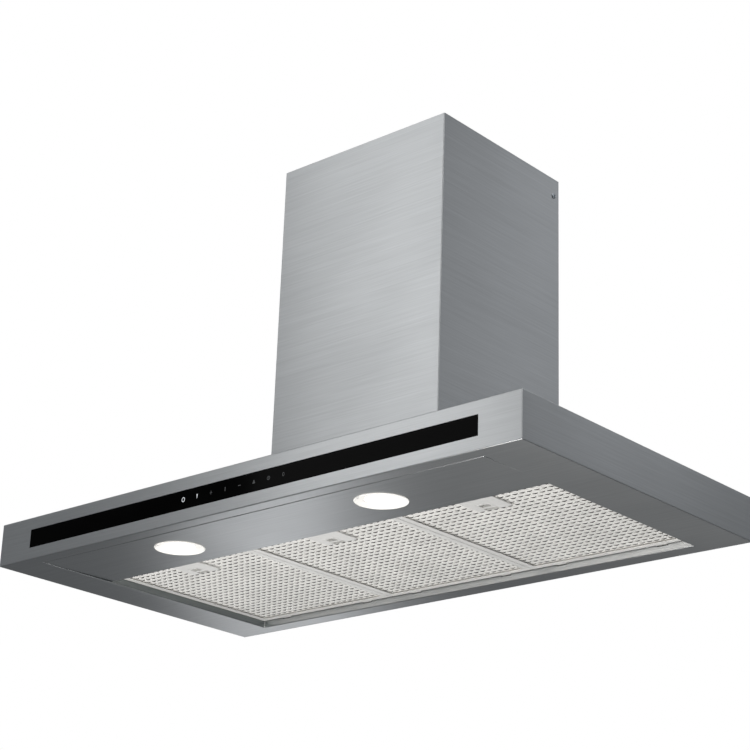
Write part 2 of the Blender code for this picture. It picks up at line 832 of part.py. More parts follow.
def scroll_outline(offset):
    """The scroll's outline in (y, z) about the fan's axis, moved out by offset; its mouth is at the top."""
    count = 22
    points = []
    for k in range(count):
        share = k / (count - 1)
        angle = SCROLL_START_ANGLE + (SCROLL_END_ANGLE - SCROLL_START_ANGLE) * share
        radius = SCROLL_TIGHT_RADIUS + (SCROLL_WIDE_RADIUS - SCROLL_TIGHT_RADIUS) * share + offset
        points.append((radius * math.cos(angle), radius * math.sin(angle)))
    mouth = SCROLL_TOP - FAN_Z
    return [(points[0][0], mouth)] + points + [(points[-1][0], mouth)]


def make_scroll():
    for side, name in ((-1, "left"), (1, "right")):
        near = 0.0002
        depth = SCROLL_HALF_WIDTH - near
        centre_x = side * (near + depth / 2)
        hollow_x = centre_x - side * SCROLL_WALL
        outer = scroll_outline(SCROLL_WALL)
        half = extruded(f"scroll_{name}", outer, depth, (centre_x, FAN_Y, FAN_Z), ACROSS)
        hollow = extruded(
            f"scroll_hollow_{name}", scroll_outline(0.0), depth, (hollow_x, FAN_Y, FAN_Z), ACROSS
        )
        mouth_back = FAN_Y + SCROLL_TIGHT_RADIUS * math.cos(SCROLL_START_ANGLE)
        mouth = block(
            f"scroll_mouth_{name}",
            (hollow_x - depth / 2, FAN_Y - SCROLL_WIDE_RADIUS, FAN_Z + SCROLL_TIGHT_RADIUS),
            (hollow_x + depth / 2, mouth_back, SCROLL_TOP + OVERSHOOT),
        )
        inlet = drum(
            f"scroll_inlet_{name}",
            INLET_RADIUS,
            side * SCROLL_HALF_WIDTH - OVERSHOOT,
            side * SCROLL_HALF_WIDTH + OVERSHOOT,
            (FAN_Y, FAN_Z),
            "X",
            40,
        )
        part(cut(half, hollow, mouth, inlet), "black_plastic")


def make_rotor():
    """Drum impeller with forward-curved blades on both sides of its web, and its shaft."""
    spin = joint_empty("fan_spin", (0, FAN_Y, FAN_Z))
    quarter_turn = (0, math.pi / 2, 0)
    bore = SHAFT_RADIUS + GAP
    hub_radius = 0.0120
    hub_half = 0.0100
    web_radius = 0.0640
    web_half = 0.0010
    web_profile = [
        (bore, hub_half),
        (hub_radius, hub_half),
        (hub_radius, web_half),
        (web_radius, web_half),
        (web_radius, -web_half),
        (hub_radius, -web_half),
        (hub_radius, -hub_half),
        (bore, -hub_half),
    ]
    impeller = turned("impeller", web_profile, True, (0, FAN_Y, FAN_Z), quarter_turn, 24)

    ring_width = 0.0030
    for side, name in ((-1, "left"), (1, "right")):
        outer = side * FAN_HALF_WIDTH
        inner = outer - side * ring_width
        low, high = sorted((outer, inner))
        rim_profile = [
            (FAN_INNER_RADIUS, high),
            (FAN_RADIUS, high),
            (FAN_RADIUS, low),
            (FAN_INNER_RADIUS, low),
        ]
        rim = turned(f"impeller_rim_{name}", rim_profile, True, (0, FAN_Y, FAN_Z), quarter_turn, 48)
        fuse(impeller, rim)

    thickness = 0.0012
    sweep = 0.16
    inset = 0.0010
    near_face = []
    far_face = []
    for k in range(3):
        share = k / 2
        radius = FAN_INNER_RADIUS + inset + (FAN_RADIUS - FAN_INNER_RADIUS - 2 * inset) * share
        near_angle = sweep * share**2
        far_angle = near_angle + thickness / radius
        near_face.append((radius * math.cos(near_angle), radius * math.sin(near_angle)))
        far_face.append((radius * math.cos(far_angle), radius * math.sin(far_angle)))
    length = 2 * (FAN_HALF_WIDTH - inset)
    blade = extruded(
        "impeller_blade", near_face + far_face[::-1], length, (0, FAN_Y, FAN_Z), ACROSS
    )
    step = joint_empty("blade_step", (0, FAN_Y, FAN_Z))
    step.rotation_mode = "QUATERNION"
    blade.rotation_mode = "QUATERNION"
    turn = Vector((1, 0, 0))
    step.rotation_quaternion = blade_turn(turn, 2 * math.pi / BLADE_COUNT)
    blade.rotation_quaternion = blade_turn(turn, 0)
    array = blade.modifiers.new("blades", "ARRAY")
    array.count = BLADE_COUNT
    array.use_relative_offset = False
    array.use_object_offset = True
    array.offset_object = step
    array.use_merge_vertices = False
    fuse(impeller, blade)
    part(impeller, "black_plastic", spin)

    shaft = drum("motor_shaft", SHAFT_RADIUS, MOTOR_LEFT - 0.006, 0.0140, (FAN_Y, FAN_Z), "X", 20)
    part(shaft, "spring_steel", spin)


def blade_turn(axis, angle):
    """The flat outline's turn to the YZ plane, followed by a turn about the fan's axis."""
    return Quaternion(axis, angle) @ Euler(ACROSS).to_quaternion()


def make_motor():
    """Motor, the clamp with three arms that holds it in the scroll's inlet, and its capacitor."""
    length = MOTOR_RIGHT - MOTOR_LEFT
    half = length / 2
    bore = SHAFT_RADIUS + GAP
    profile = [
        (bore, half),
        (0.0180, half),
        (0.0180, half - 0.0060),
        (MOTOR_RADIUS - 0.0060, half - 0.0060),
        (MOTOR_RADIUS, half - 0.0120),
        (MOTOR_RADIUS, -half + 0.0060),
        (MOTOR_RADIUS - 0.0060, -half),
        (bore, -half),
    ]
    centre = ((MOTOR_LEFT + MOTOR_RIGHT) / 2, FAN_Y, FAN_Z)
    part(turned("motor_body", profile, True, centre, (0, math.pi / 2, 0), 28), "cast_aluminium")

    side = -SCROLL_HALF_WIDTH - GAP
    clamp_half = 0.0050
    clamp_radius = MOTOR_RADIUS + 0.0040
    clamp_profile = [
        (MOTOR_RADIUS + GAP, clamp_half),
        (clamp_radius, clamp_half),
        (clamp_radius, -clamp_half),
        (MOTOR_RADIUS + GAP, -clamp_half),
    ]
    clamp_x = side - 0.0055
    bracket = turned("motor_bracket", clamp_profile, True, (clamp_x, FAN_Y, FAN_Z), (0, math.pi / 2, 0), 28)
    arms = 3
    for k in range(arms):
        angle = math.pi / 2 + 2 * math.pi * k / arms
        outward = Vector((0, math.cos(angle), math.sin(angle)))
        arm = block(f"motor_arm_{k}", (-0.0030, -0.0060, -0.0150), (0.0030, 0.0060, 0.0150))
        arm.location = Vector((side - 0.0030, FAN_Y, FAN_Z)) + outward * (MOTOR_RADIUS + 0.0170)
        arm.rotation_euler = (angle - math.pi / 2, 0, 0)
        fuse(bracket, arm)
    part(bracket, "galvanised")

    capacitor = [
        (0.0, 0.0240),
        (0.0110, 0.0240),
        (0.0130, 0.0225),
        (0.0130, -0.0240),
        (0.0, -0.0240),
    ]
    capacitor_place = (0.1055, -0.0600, 0.1000)
    part(turned("motor_capacitor", capacitor, False, capacitor_place, steps=24), "white_plastic")


def make_outlet():
    """The duct collar on the blower box, with a ledge and a cross bar, and its two flaps."""
    inner = COLLAR_RADIUS - COLLAR_WALL
    ledge = FLAP_Z - COLLAR_LOW - FLAP_THICKNESS / 2 - GAP
    profile = [
        (inner, COLLAR_HEIGHT),
        (COLLAR_RADIUS, COLLAR_HEIGHT),
        (COLLAR_RADIUS, 0.0020),
        (0.0810, 0.0020),
        (0.0810, 0.0),
        (inner, 0.0),
        (inner, ledge - 0.0020),
        (inner - 0.0035, ledge - 0.0005),
        (inner - 0.0035, ledge),
        (inner, ledge),
    ]
    collar = turned("outlet_collar", profile, True, (0, COLLAR_Y, COLLAR_LOW), steps=36)
    bar = block(
        "flap_bar",
        (-inner - 0.0003, COLLAR_Y - 0.0015, FLAP_Z - 0.0060),
        (inner + 0.0003, COLLAR_Y + 0.0015, FLAP_Z + 0.0060),
    )
    fuse(collar, bar)
    for side, name in ((-1, "front"), (1, "rear")):
        pin_hole = drum(
            f"flap_pin_hole_{name}",
            FLAP_PIN_RADIUS + GAP,
            -COLLAR_RADIUS - OVERSHOOT,
            COLLAR_RADIUS + OVERSHOOT,
            (COLLAR_Y + side * FLAP_PIVOT, FLAP_Z),
            "X",
            16,
        )
        cut(collar, pin_hole)
    part(collar, "grey_plastic")

    for side, name in ((-1, "front"), (1, "rear")):
        pivot_y = COLLAR_Y + side * FLAP_PIVOT
        hinge = joint_empty(f"flap_hinge_{name}", (0, pivot_y, FLAP_Z))
        start = math.asin(FLAP_PIVOT / FLAP_RADIUS)
        arc = ring_points(FLAP_RADIUS, start, math.pi - start, 25)
        outline = [(x, side * (y - FLAP_PIVOT)) for x, y in arc]
        flap = extruded(f"damper_flap_{name}", outline, FLAP_THICKNESS, (0, pivot_y, FLAP_Z))
        half_pin = COLLAR_RADIUS - GAP
        pin = drum(f"flap_pin_{name}", FLAP_PIN_RADIUS, -half_pin, half_pin, (pivot_y, FLAP_Z), "X", 12)
        part(fuse(flap, pin), "grey_plastic", hinge)


# ---------------------------------------------------------------- electrics


def make_electrics():
    """Control box with its board, the lamp driver, the terminal block and the mains inlet gland."""
    box = tray(
        "control_box",
        (-BOX_HALF_WIDTH, BOX_FRONT, BOX_LOW),
        (BOX_HALF_WIDTH, BOX_BACK, BOX_HIGH),
        [(0, 0, -1)],
        BOX_WALL,
    )
    hole_radius = 0.0034
    reach = BOX_HALF_WIDTH + OVERSHOOT
    side_holes = drum("box_side_holes", hole_radius, -reach, reach, (LEAD_Y, LEAD_Z), "X", 16)
    near = BOX_FRONT - OVERSHOOT
    far = BOX_FRONT + OVERSHOOT
    front_hole = drum("box_front_hole", hole_radius, near, far, (0, LEAD_Z), "Y", 16)
    part(cut(box, side_holes, front_hole), "white_plastic")
    lid = block(
        "control_box_lid",
        (-BOX_HALF_WIDTH, BOX_FRONT, BOX_LOW - GAP - BOX_WALL),
        (BOX_HALF_WIDTH, BOX_BACK, BOX_LOW - GAP),
    )
    part(lid, "white_plastic")

    board = block(
        "power_board", (-0.0700, -0.4420, BOARD_LOW), (0.0700, -0.3680, BOARD_LOW + BOARD_THICKNESS)
    )
    seat = BOARD_LOW + 0.0005
    components = {
        "transformer": ((-0.045, -0.436, 0.0000), (-0.012, -0.406, seat)),
        "motor_socket": ((-0.0690, -0.4060, 0.0090), (-0.0610, -0.3940, seat)),
        "lamp_socket": ((0.0610, -0.4060, 0.0090), (0.0690, -0.3940, seat)),
        "touch_socket": ((-0.0060, -0.4410, 0.0090), (0.0060, -0.4330, seat)),
    }
    for k in range(4):
        x = 0.008 + k * 0.0135
        components[f"relay_{k}"] = ((x, -0.3900, 0.0050), (x + 0.0115, -0.3710, seat))
    for name, (low, high) in components.items():
        fuse(board, block(name, low, high))
    part(board, "circuit_board")

    part(block("led_driver", (0.1000, -0.4450, 0.0000), (0.2000, -0.4120, 0.0200)), "white_plastic")
    part(block("terminal_block", (0.0830, -0.0500, 0.2100), (0.1130, -0.0300, 0.2305)), "white_plastic")
    gland_bore = 0.0045
    gland_profile = [
        (gland_bore, 0.0180),
        (0.0085, 0.0180),
        (0.0120, 0.0150),
        (0.0120, 0.0060),
        (0.0135, 0.0060),
        (0.0135, 0.0),
        (GLAND_NECK, 0.0),
        (GLAND_NECK, -0.0080),
        (gland_bore, -0.0080),
    ]
    gland_place = (*GLAND_PLACE, BLOWER_TOP + GAP)
    part(turned("cable_gland", gland_profile, True, gland_place, steps=24), "black_plastic")


def make_leads():
    """The fixed internal leads, each whole between its two ends."""
    lamp_top = -0.0070
    routes = {
        "motor_lead": (
            0.0025,
            [
                (-0.0693, LEAD_Y, LEAD_Z),
                (-0.0850, LEAD_Y, LEAD_Z),
                (-0.1000, -0.3850, 0.0170),
                (-0.1050, -0.3300, 0.0200),
                (-0.1050, -0.2600, 0.0210),
                (-0.1040, FAN_Y - 0.0970, 0.0240),
                (-0.1040, FAN_Y - 0.0770, 0.0450),
                (-0.1070, FAN_Y - 0.0520, 0.0900),
                (-0.1090, FAN_Y - 0.0220, 0.1400),
                (-0.1040, FAN_Y - 0.0040, 0.1600),
                (-0.0925, FAN_Y, 0.1620),
            ],
        ),
        "touch_lead": (
            0.0020,
            [
                (0.0, -0.4696, 0.0057),
                (0.0, -0.4620, 0.0070),
                (0.0, -0.4520, 0.0130),
                (0.0, -0.4413, LEAD_Z),
            ],
        ),
        "driver_lead": (
            0.0020,
            [
                (0.0693, LEAD_Y, LEAD_Z),
                (0.0780, LEAD_Y, LEAD_Z),
                (0.0840, -0.4060, 0.0130),
                (0.0860, -0.4180, 0.0110),
                (0.0920, -0.4245, 0.0100),
                (0.0970, -0.4250, 0.0100),
                (0.0996, -0.4250, 0.0100),
            ],
        ),
        "lamp_lead_right": (
            0.0020,
            [
                (0.1700, -0.4116, 0.0100),
                (0.1700, -0.4085, 0.0100),
                (0.1712, -0.4045, 0.0085),
                (0.1745, -0.4010, 0.0040),
                (0.1760, -0.3990, -0.0010),
                (0.1760, -0.3990, lamp_top),
            ],
        ),
        "lamp_lead_left": (
            0.0020,
            [
                (0.1100, -0.4116, 0.0100),
                (0.1100, -0.4080, 0.0100),
                (0.1075, -0.3900, 0.0110),
                (0.0850, -0.3550, 0.0130),
                (0.0, -0.3500, 0.0090),
                (-0.0850, -0.3550, 0.0080),
                (-0.1500, -0.3850, 0.0060),
                (-0.1720, -0.3970, 0.0040),
                (-0.1760, -0.3990, -0.0010),
                (-0.1760, -0.3990, lamp_top),
            ],
        ),
    }
    for name, (radius, route) in routes.items():
        part(wire(name, smooth_route(route, 6 * radius), radius, 2), "lead_sleeve")


# ---------------------------------------------------------------- chimney


def make_chimney():
    """Outer cover, inner telescopic section, wall bracket and the two side screws."""
    half = CHIMNEY_WIDTH / 2
    lip = 0.0120
    outer_path = [
        (-half + lip, 0.0),
        (-half, 0.0),
        (-half, -CHIMNEY_DEPTH),
        (half, -CHIMNEY_DEPTH),
        (half, 0.0),
        (half - lip, 0.0),
    ]
    outer = folded_sheet("chimney_lower", outer_path, CHIMNEY_LOW, CHIMNEY_TOP)

    inner_path = [
        (-INNER_HALF_WIDTH + 0.010, INNER_BACK),
        (-INNER_HALF_WIDTH, INNER_BACK),
        (-INNER_HALF_WIDTH, INNER_FRONT),
        (INNER_HALF_WIDTH, INNER_FRONT),
        (INNER_HALF_WIDTH, INNER_BACK),
        (INNER_HALF_WIDTH - 0.010, INNER_BACK),
    ]
    inner = folded_sheet("chimney_upper", inner_path, INNER_LOW, INNER_TOP)
    rise = joint_empty("chimney_rise", (0, INNER_BACK, INNER_LOW))
    part(inner, "stainless", rise)

    bracket_half = half - SHEET - GAP
    bracket_back = -SHEET - GAP
    bracket_front = -0.0210
    bracket_path = [
        (bracket_half, bracket_front),
        (bracket_half, bracket_back),
        (-bracket_half, bracket_back),
        (-bracket_half, bracket_front),
    ]
    bracket_low = SCREW_Z - 0.0140
    bracket_high = SCREW_Z + 0.0140
    bracket = folded_sheet("chimney_bracket", bracket_path, bracket_low, bracket_high, 0.0012)

    shank = 0.0020
    for side, name in ((-1, "left"), (1, "right")):
        turn = (0, side * math.pi / 2, 0)
        near, far = sorted((side * (half - OVERSHOOT), side * (half + OVERSHOOT)))
        hole = drum(f"screw_hole_{name}", shank + GAP, near, far, (SCREW_Y, SCREW_Z), "X", 20)
        cut(outer, hole)
        cut(bracket, hole)
        profile = [
            (0.0, 0.0022),
            (0.0020, 0.0021),
            (0.0034, 0.0014),
            (0.0040, GAP),
            (shank, GAP),
            (shank, -0.0080),
            (0.0, -0.0080),
        ]
        place = (side * half, SCREW_Y, SCREW_Z)
        screw = turned(f"chimney_screw_{name}", profile, False, place, turn, steps=20)
        cross_x = side * (half + 0.0017)
        cross_depth = 0.0007
        for k, (reach_y, reach_z) in enumerate(((0.0018, 0.0004), (0.0004, 0.0018))):
            cross = block(
                f"screw_cross_{name}_{k}",
                (cross_x - cross_depth, SCREW_Y - reach_y, SCREW_Z - reach_z),
                (cross_x + cross_depth, SCREW_Y + reach_y, SCREW_Z + reach_z),
            )
            cut(screw, cross)
        part(screw, "stainless")
    part(outer, "stainless")
    part(bracket, "galvanised")


# ---------------------------------------------------------------- assembly


def main():
    clear_scene()
    make_collection("range_hood")
    make_collection("cutters")
    make_canopy_shell()
    make_underside_frame()
    make_back_panel()
    make_canopy_hangers()
    make_light_panel()
    make_filter_rails()
    make_control()
    make_lamps()
    for index, name in enumerate(("left", "middle", "right")):
        make_filter(index, name)
    make_blower_box()
    make_scroll()
    make_rotor()
    make_motor()
    make_outlet()
    make_electrics()
    make_leads()
    make_chimney()


main()
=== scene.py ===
import json
import math

import bmesh
import bpy
from bpy.props import FloatProperty, FloatVectorProperty, IntProperty, PointerProperty
from mathutils import Matrix, Quaternion, Vector


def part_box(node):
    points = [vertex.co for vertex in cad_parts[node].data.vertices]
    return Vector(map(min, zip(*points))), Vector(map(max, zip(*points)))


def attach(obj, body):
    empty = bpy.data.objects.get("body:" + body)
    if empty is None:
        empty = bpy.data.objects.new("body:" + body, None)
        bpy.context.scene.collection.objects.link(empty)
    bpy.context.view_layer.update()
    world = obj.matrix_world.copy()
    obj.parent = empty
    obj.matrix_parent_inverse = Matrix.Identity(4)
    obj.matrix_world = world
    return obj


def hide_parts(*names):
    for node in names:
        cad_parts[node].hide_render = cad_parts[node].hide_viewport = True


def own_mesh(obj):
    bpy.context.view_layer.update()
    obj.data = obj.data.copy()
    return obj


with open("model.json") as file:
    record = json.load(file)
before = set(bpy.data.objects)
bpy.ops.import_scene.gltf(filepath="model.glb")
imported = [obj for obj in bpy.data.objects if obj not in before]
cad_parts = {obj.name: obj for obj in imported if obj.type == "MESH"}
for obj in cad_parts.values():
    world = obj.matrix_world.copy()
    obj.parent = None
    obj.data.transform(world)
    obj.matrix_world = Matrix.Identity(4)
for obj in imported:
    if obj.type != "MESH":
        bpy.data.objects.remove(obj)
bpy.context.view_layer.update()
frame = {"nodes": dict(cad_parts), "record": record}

bl_info = {
    "name": "Chimney hood looks",
    "version": (1, 0, 0),
    "blender": (4, 5, 0),
    "location": "3D View > Sidebar > Hood",
    "description": "Dresses a wall-mounted chimney hood: folded steel skins, glass, lamps, filters and finishes",
    "category": "Object",
}

MM = 0.001
SIDES = (("left", -1), ("right", 1))
FILTERS = ("left", "middle", "right")
TRAY_RISE = 2.1 * MM  # The light panel's rear edge is this much higher than its front edge.


def linear(colour):
    """Linear red, green, blue and alpha of an sRGB hex colour such as "C8CCD0"."""
    shares = [int(colour[i : i + 2], 16) / 255 for i in (0, 2, 4)]
    return tuple(c / 12.92 if c <= 0.04045 else ((c + 0.055) / 1.055) ** 2.4 for c in shares) + (1.0,)


# ---------------------------------------------------------------- settings


def length_setting(name, description, default, low=0.0001, high=1.0):
    return FloatProperty(
        name=name, description=description, default=default, min=low, max=high, unit="LENGTH", precision=4
    )


def colour_setting(name, description, default):
    return FloatVectorProperty(
        name=name, description=description, default=linear(default), size=4, min=0.0, max=1.0, subtype="COLOR"
    )


class HoodSizes(bpy.types.PropertyGroup):
    """Sizes that a user would change."""

    sheet: length_setting("Sheet", "Thickness of the folded steel", 1.0 * MM)
    fold_radius: length_setting("Fold radius", "Outside radius of a fold in the steel", 1.2 * MM)
    edge_radius: length_setting("Edge radius", "Softening of the small parts' edges", 0.25 * MM)
    cell: length_setting("Filter cell", "Spacing of the pressed cups in a filter's face", 11.0 * MM)
    cup_depth: length_setting("Cup depth", "How far a pressed cup stands out of the filter's face", 1.3 * MM)
    lens_crown: length_setting("Lens crown", "How far a lamp's lens bulges", 1.1 * MM)
    spring_turns: IntProperty(
        name="Spring turns", description="Coils of a catch's spring", default=9, min=3, max=20
    )


class HoodColours(bpy.types.PropertyGroup):
    """Colours that a user would change."""

    steel: colour_setting("Steel", "Brushed stainless steel of the skins", "C9CBCC")
    # Painted shade: the darker steel of the recess's end walls, drawn as if in shadow.
    recess_shade_colour: colour_setting("Recess shade", "Painted shade on the ends of the recess", "8A8F90")
    zinc: colour_setting("Zinc", "Galvanised sheet of the blower box", "B4B9BD")
    aluminium: colour_setting("Aluminium", "Filter frames and catches", "DCDBD8")
    pressed: colour_setting("Pressed aluminium", "The filters' faces", "E6E4E0")
    casting: colour_setting("Casting", "Die-cast aluminium of the lamps' bodies", "9EA1A4")
    ring: colour_setting("Lamp ring", "White lacquer of the lamps' rings", "E4E2DE")
    glow: colour_setting("Lamp light", "Light from the lamps' lenses", "FFFDF6")
    glass: colour_setting("Glass", "Printed back of the control glass", "020202")
    icons: colour_setting("Key film", "Marks of the touch keys", "E9EEF2")
    black: colour_setting("Black plastic", "Carrier, gland and blower scroll", "1C1D1F")
    grey: colour_setting("Grey plastic", "Leads and inner mouldings", "7C8084")
    white: colour_setting("White plastic", "Control box and capacitor", "DEDED9")
    motor: colour_setting("Motor", "Painted motor casing", "53585C")
    floor: colour_setting("Floor", "Studio floor", "F2F3F4")


# ---------------------------------------------------------------- materials


def add_node(tree, kind, inputs=None, **settings):
    """Adds a node, sets its settings, and sets or links its inputs."""
    node = tree.nodes.new(kind)
    for name, value in settings.items():
        setattr(node, name, value)
    for name, value in (inputs or {}).items():
        if isinstance(value, bpy.types.NodeSocket):
            tree.links.new(value, node.inputs[name])
        else:
            node.inputs[name].default_value = value
    return node


def start_material(name):
    """A new material and its node tree, which is still empty."""
    material = bpy.data.materials.new(name)
    material.use_nodes = True
    tree = material.node_tree
    tree.nodes.clear()
    return material, tree


def close_material(material, inputs):
    """Gives the material its shader, with these inputs, and its output."""
    tree = material.node_tree
    shader = add_node(tree, "ShaderNodeBsdfPrincipled", inputs)
    add_node(tree, "ShaderNodeOutputMaterial", {"Surface": shader.outputs[0]})
    return material


def toned(tree, base, factor, low, high, dark, light):
    """The base colour, from dark to light as the factor goes from low to high."""
    tone = add_node(tree, "ShaderNodeMapRange", {0: factor, 1: low, 2: high, 3: dark, 4: light})
    return add_node(
        tree, "ShaderNodeVectorMath", {0: tuple(base)[:3], "Scale": tone.outputs[0]}, operation="SCALE"
    )


def stretched(tree, along, across, turned=False):
    """Object coordinates in which one unit is `along` metres with the grain and `across` over it.
    The grain runs along X, and along Y on faces that look along X."""
    place = add_node(tree, "ShaderNodeTexCoord")
    with_x = add_node(
        tree,
        "ShaderNodeVectorMath",
        {0: place.outputs["Object"], 1: (1 / along, 1 / across, 1 / across)},
        operation="MULTIPLY",
    )
    if not turned:
        return with_x.outputs[0]
    with_y = add_node(
        tree,
        "ShaderNodeVectorMath",
        {0: place.outputs["Object"], 1: (1 / across, 1 / along, 1 / across)},
        operation="MULTIPLY",
    )
    facing = add_node(tree, "ShaderNodeSeparateXYZ", {0: place.outputs["Normal"]})
    size = add_node(tree, "ShaderNodeMath", {0: facing.outputs["X"]}, operation="ABSOLUTE")
    side = add_node(tree, "ShaderNodeMath", {0: size.outputs[0], 1: 0.7}, operation="GREATER_THAN")
    mixed = add_node(
        tree,
        "ShaderNodeMix",
        {"Factor": side.outputs[0], "A": with_x.outputs[0], "B": with_y.outputs[0]},
        data_type="VECTOR",
    )
    return mixed.outputs["Result"]


def steel_sheet(name, base):
    """Stainless steel sheet, 304, belt-brushed: long fine streaks along the sheet, which pull
    each reflection out across them, over a slow cloudiness left by rolling and handling."""
    material, tree = start_material(name)
    # The real grit leaves streaks of about 0.1 mm. They are drawn 1.6 mm and 5 mm wide to show.
    fine = add_node(
        tree,
        "ShaderNodeTexNoise",
        {"Vector": stretched(tree, 0.09, 1.6 * MM, True), "Scale": 1.0, "Detail": 1.0, "Roughness": 0.5},
    )
    broad = add_node(
        tree,
        "ShaderNodeTexNoise",
        {"Vector": stretched(tree, 0.5, 5.0 * MM, True), "Scale": 1.0, "Detail": 1.0},
    )
    place = add_node(tree, "ShaderNodeTexCoord")
    cloud = add_node(
        tree, "ShaderNodeTexNoise", {"Vector": place.outputs["Object"], "Scale": 7.0, "Detail": 3.0}
    )
    streak = add_node(
        tree, "ShaderNodeMath", {0: broad.outputs["Fac"], 1: 0.5, 2: fine.outputs["Fac"]}, operation="MULTIPLY_ADD"
    )
    colour = toned(tree, base, streak.outputs[0], 0.2, 1.3, 0.88, 1.10)
    rough = add_node(tree, "ShaderNodeMapRange", {0: cloud.outputs["Fac"], 1: 0.0, 2: 1.0, 3: 0.28, 4: 0.34})
    bump = add_node(
        tree, "ShaderNodeBump", {"Strength": 0.03, "Distance": 0.02 * MM, "Height": fine.outputs["Fac"]}
    )
    facing = add_node(tree, "ShaderNodeSeparateXYZ", {0: place.outputs["Normal"]})
    size = add_node(tree, "ShaderNodeMath", {0: facing.outputs["Z"]}, operation="ABSOLUTE")
    flat = add_node(tree, "ShaderNodeMath", {0: size.outputs[0], 1: 0.7}, operation="GREATER_THAN")
    upright = add_node(tree, "ShaderNodeMath", {0: 1.0, 1: flat.outputs[0]}, operation="SUBTRACT")
    across = add_node(tree, "ShaderNodeCombineXYZ", {"X": 0.0, "Y": flat.outputs[0], "Z": upright.outputs[0]})
    return close_material(
        material,
        {
            "Base Color": colour.outputs[0],
            "Metallic": 1.0,
            "Roughness": rough.outputs[0],
            "Anisotropic": 0.82,
            "Tangent": across.outputs[0],
            "Normal": bump.outputs[0],
        },
    )


def brushed_stainless(colours):
    """The good side of the sheet, bright."""
    return steel_sheet("brushed_stainless_steel", colours.steel)


def painted_recess_shade(colours):
    """Painted shade on the recess's end walls: the same streaked steel, drawn dark as if in shadow."""
    return steel_sheet("stainless_steel_painted_shade", colours.recess_shade_colour)


def galvanised_sheet(colours):
    """Hot-dip galvanised steel: flat crystals of zinc, each with its own grey and its own gloss."""
    material, tree = start_material("galvanised_steel_sheet")
    place = add_node(tree, "ShaderNodeTexCoord")
    warp = add_node(
        tree, "ShaderNodeTexNoise", {"Vector": place.outputs["Object"], "Scale": 120.0, "Detail": 2.0}
    )
    moved = add_node(
        tree,
        "ShaderNodeVectorMath",
        {0: warp.outputs["Color"], 1: (0.004, 0.004, 0.004), 2: place.outputs["Object"]},
        operation="MULTIPLY_ADD",
    )
    # Crystals about 9 mm across.
    crystals = add_node(tree, "ShaderNodeTexVoronoi", {"Vector": moved.outputs[0], "Scale": 1 / (9 * MM)})
    grey = add_node(tree, "ShaderNodeSeparateColor", {0: crystals.outputs["Color"]})
    colour = toned(tree, colours.zinc, grey.outputs[0], 0.0, 1.0, 0.78, 1.08)
    rough = add_node(tree, "ShaderNodeMapRange", {0: grey.outputs[1], 3: 0.34, 4: 0.52})
    bump = add_node(
        tree, "ShaderNodeBump", {"Strength": 0.3, "Distance": 0.1 * MM, "Height": crystals.outputs["Distance"]}
    )
    return close_material(
        material,
        {
            "Base Color": colour.outputs[0],
            "Metallic": 1.0,
            "Roughness": rough.outputs[0],
            "Normal": bump.outputs[0],
        },
    )


def rolled_aluminium(colours):
    """Roll-formed aluminium strip, clear anodised: pale, with faint rolling lines along the strip
    and small dull rubs where hands take hold."""
    material, tree = start_material("rolled_aluminium")
    # Rolling lines are about 0.2 mm apart, drawn 0.8 mm.
    lines = add_node(
        tree, "ShaderNodeTexNoise", {"Vector": stretched(tree, 0.06, 0.8 * MM), "Scale": 1.0, "Detail": 2.0}
    )
    place = add_node(tree, "ShaderNodeTexCoord")
    rubs = add_node(
        tree, "ShaderNodeTexNoise", {"Vector": place.outputs["Object"], "Scale": 45.0, "Detail": 4.0}
    )
    colour = toned(tree, colours.aluminium, lines.outputs["Fac"], 0.3, 0.7, 0.94, 1.03)
    rough = add_node(tree, "ShaderNodeMapRange", {0: rubs.outputs["Fac"], 1: 0.35, 2: 0.7, 3: 0.40, 4: 0.52})
    bump = add_node(
        tree, "ShaderNodeBump", {"Strength": 0.12, "Distance": 0.05 * MM, "Height": lines.outputs["Fac"]}
    )
    return close_material(
        material,
        {
            "Base Color": colour.outputs[0],
            "Metallic": 0.4,
            "Roughness": rough.outputs[0],
            "Normal": bump.outputs[0],
        },
    )


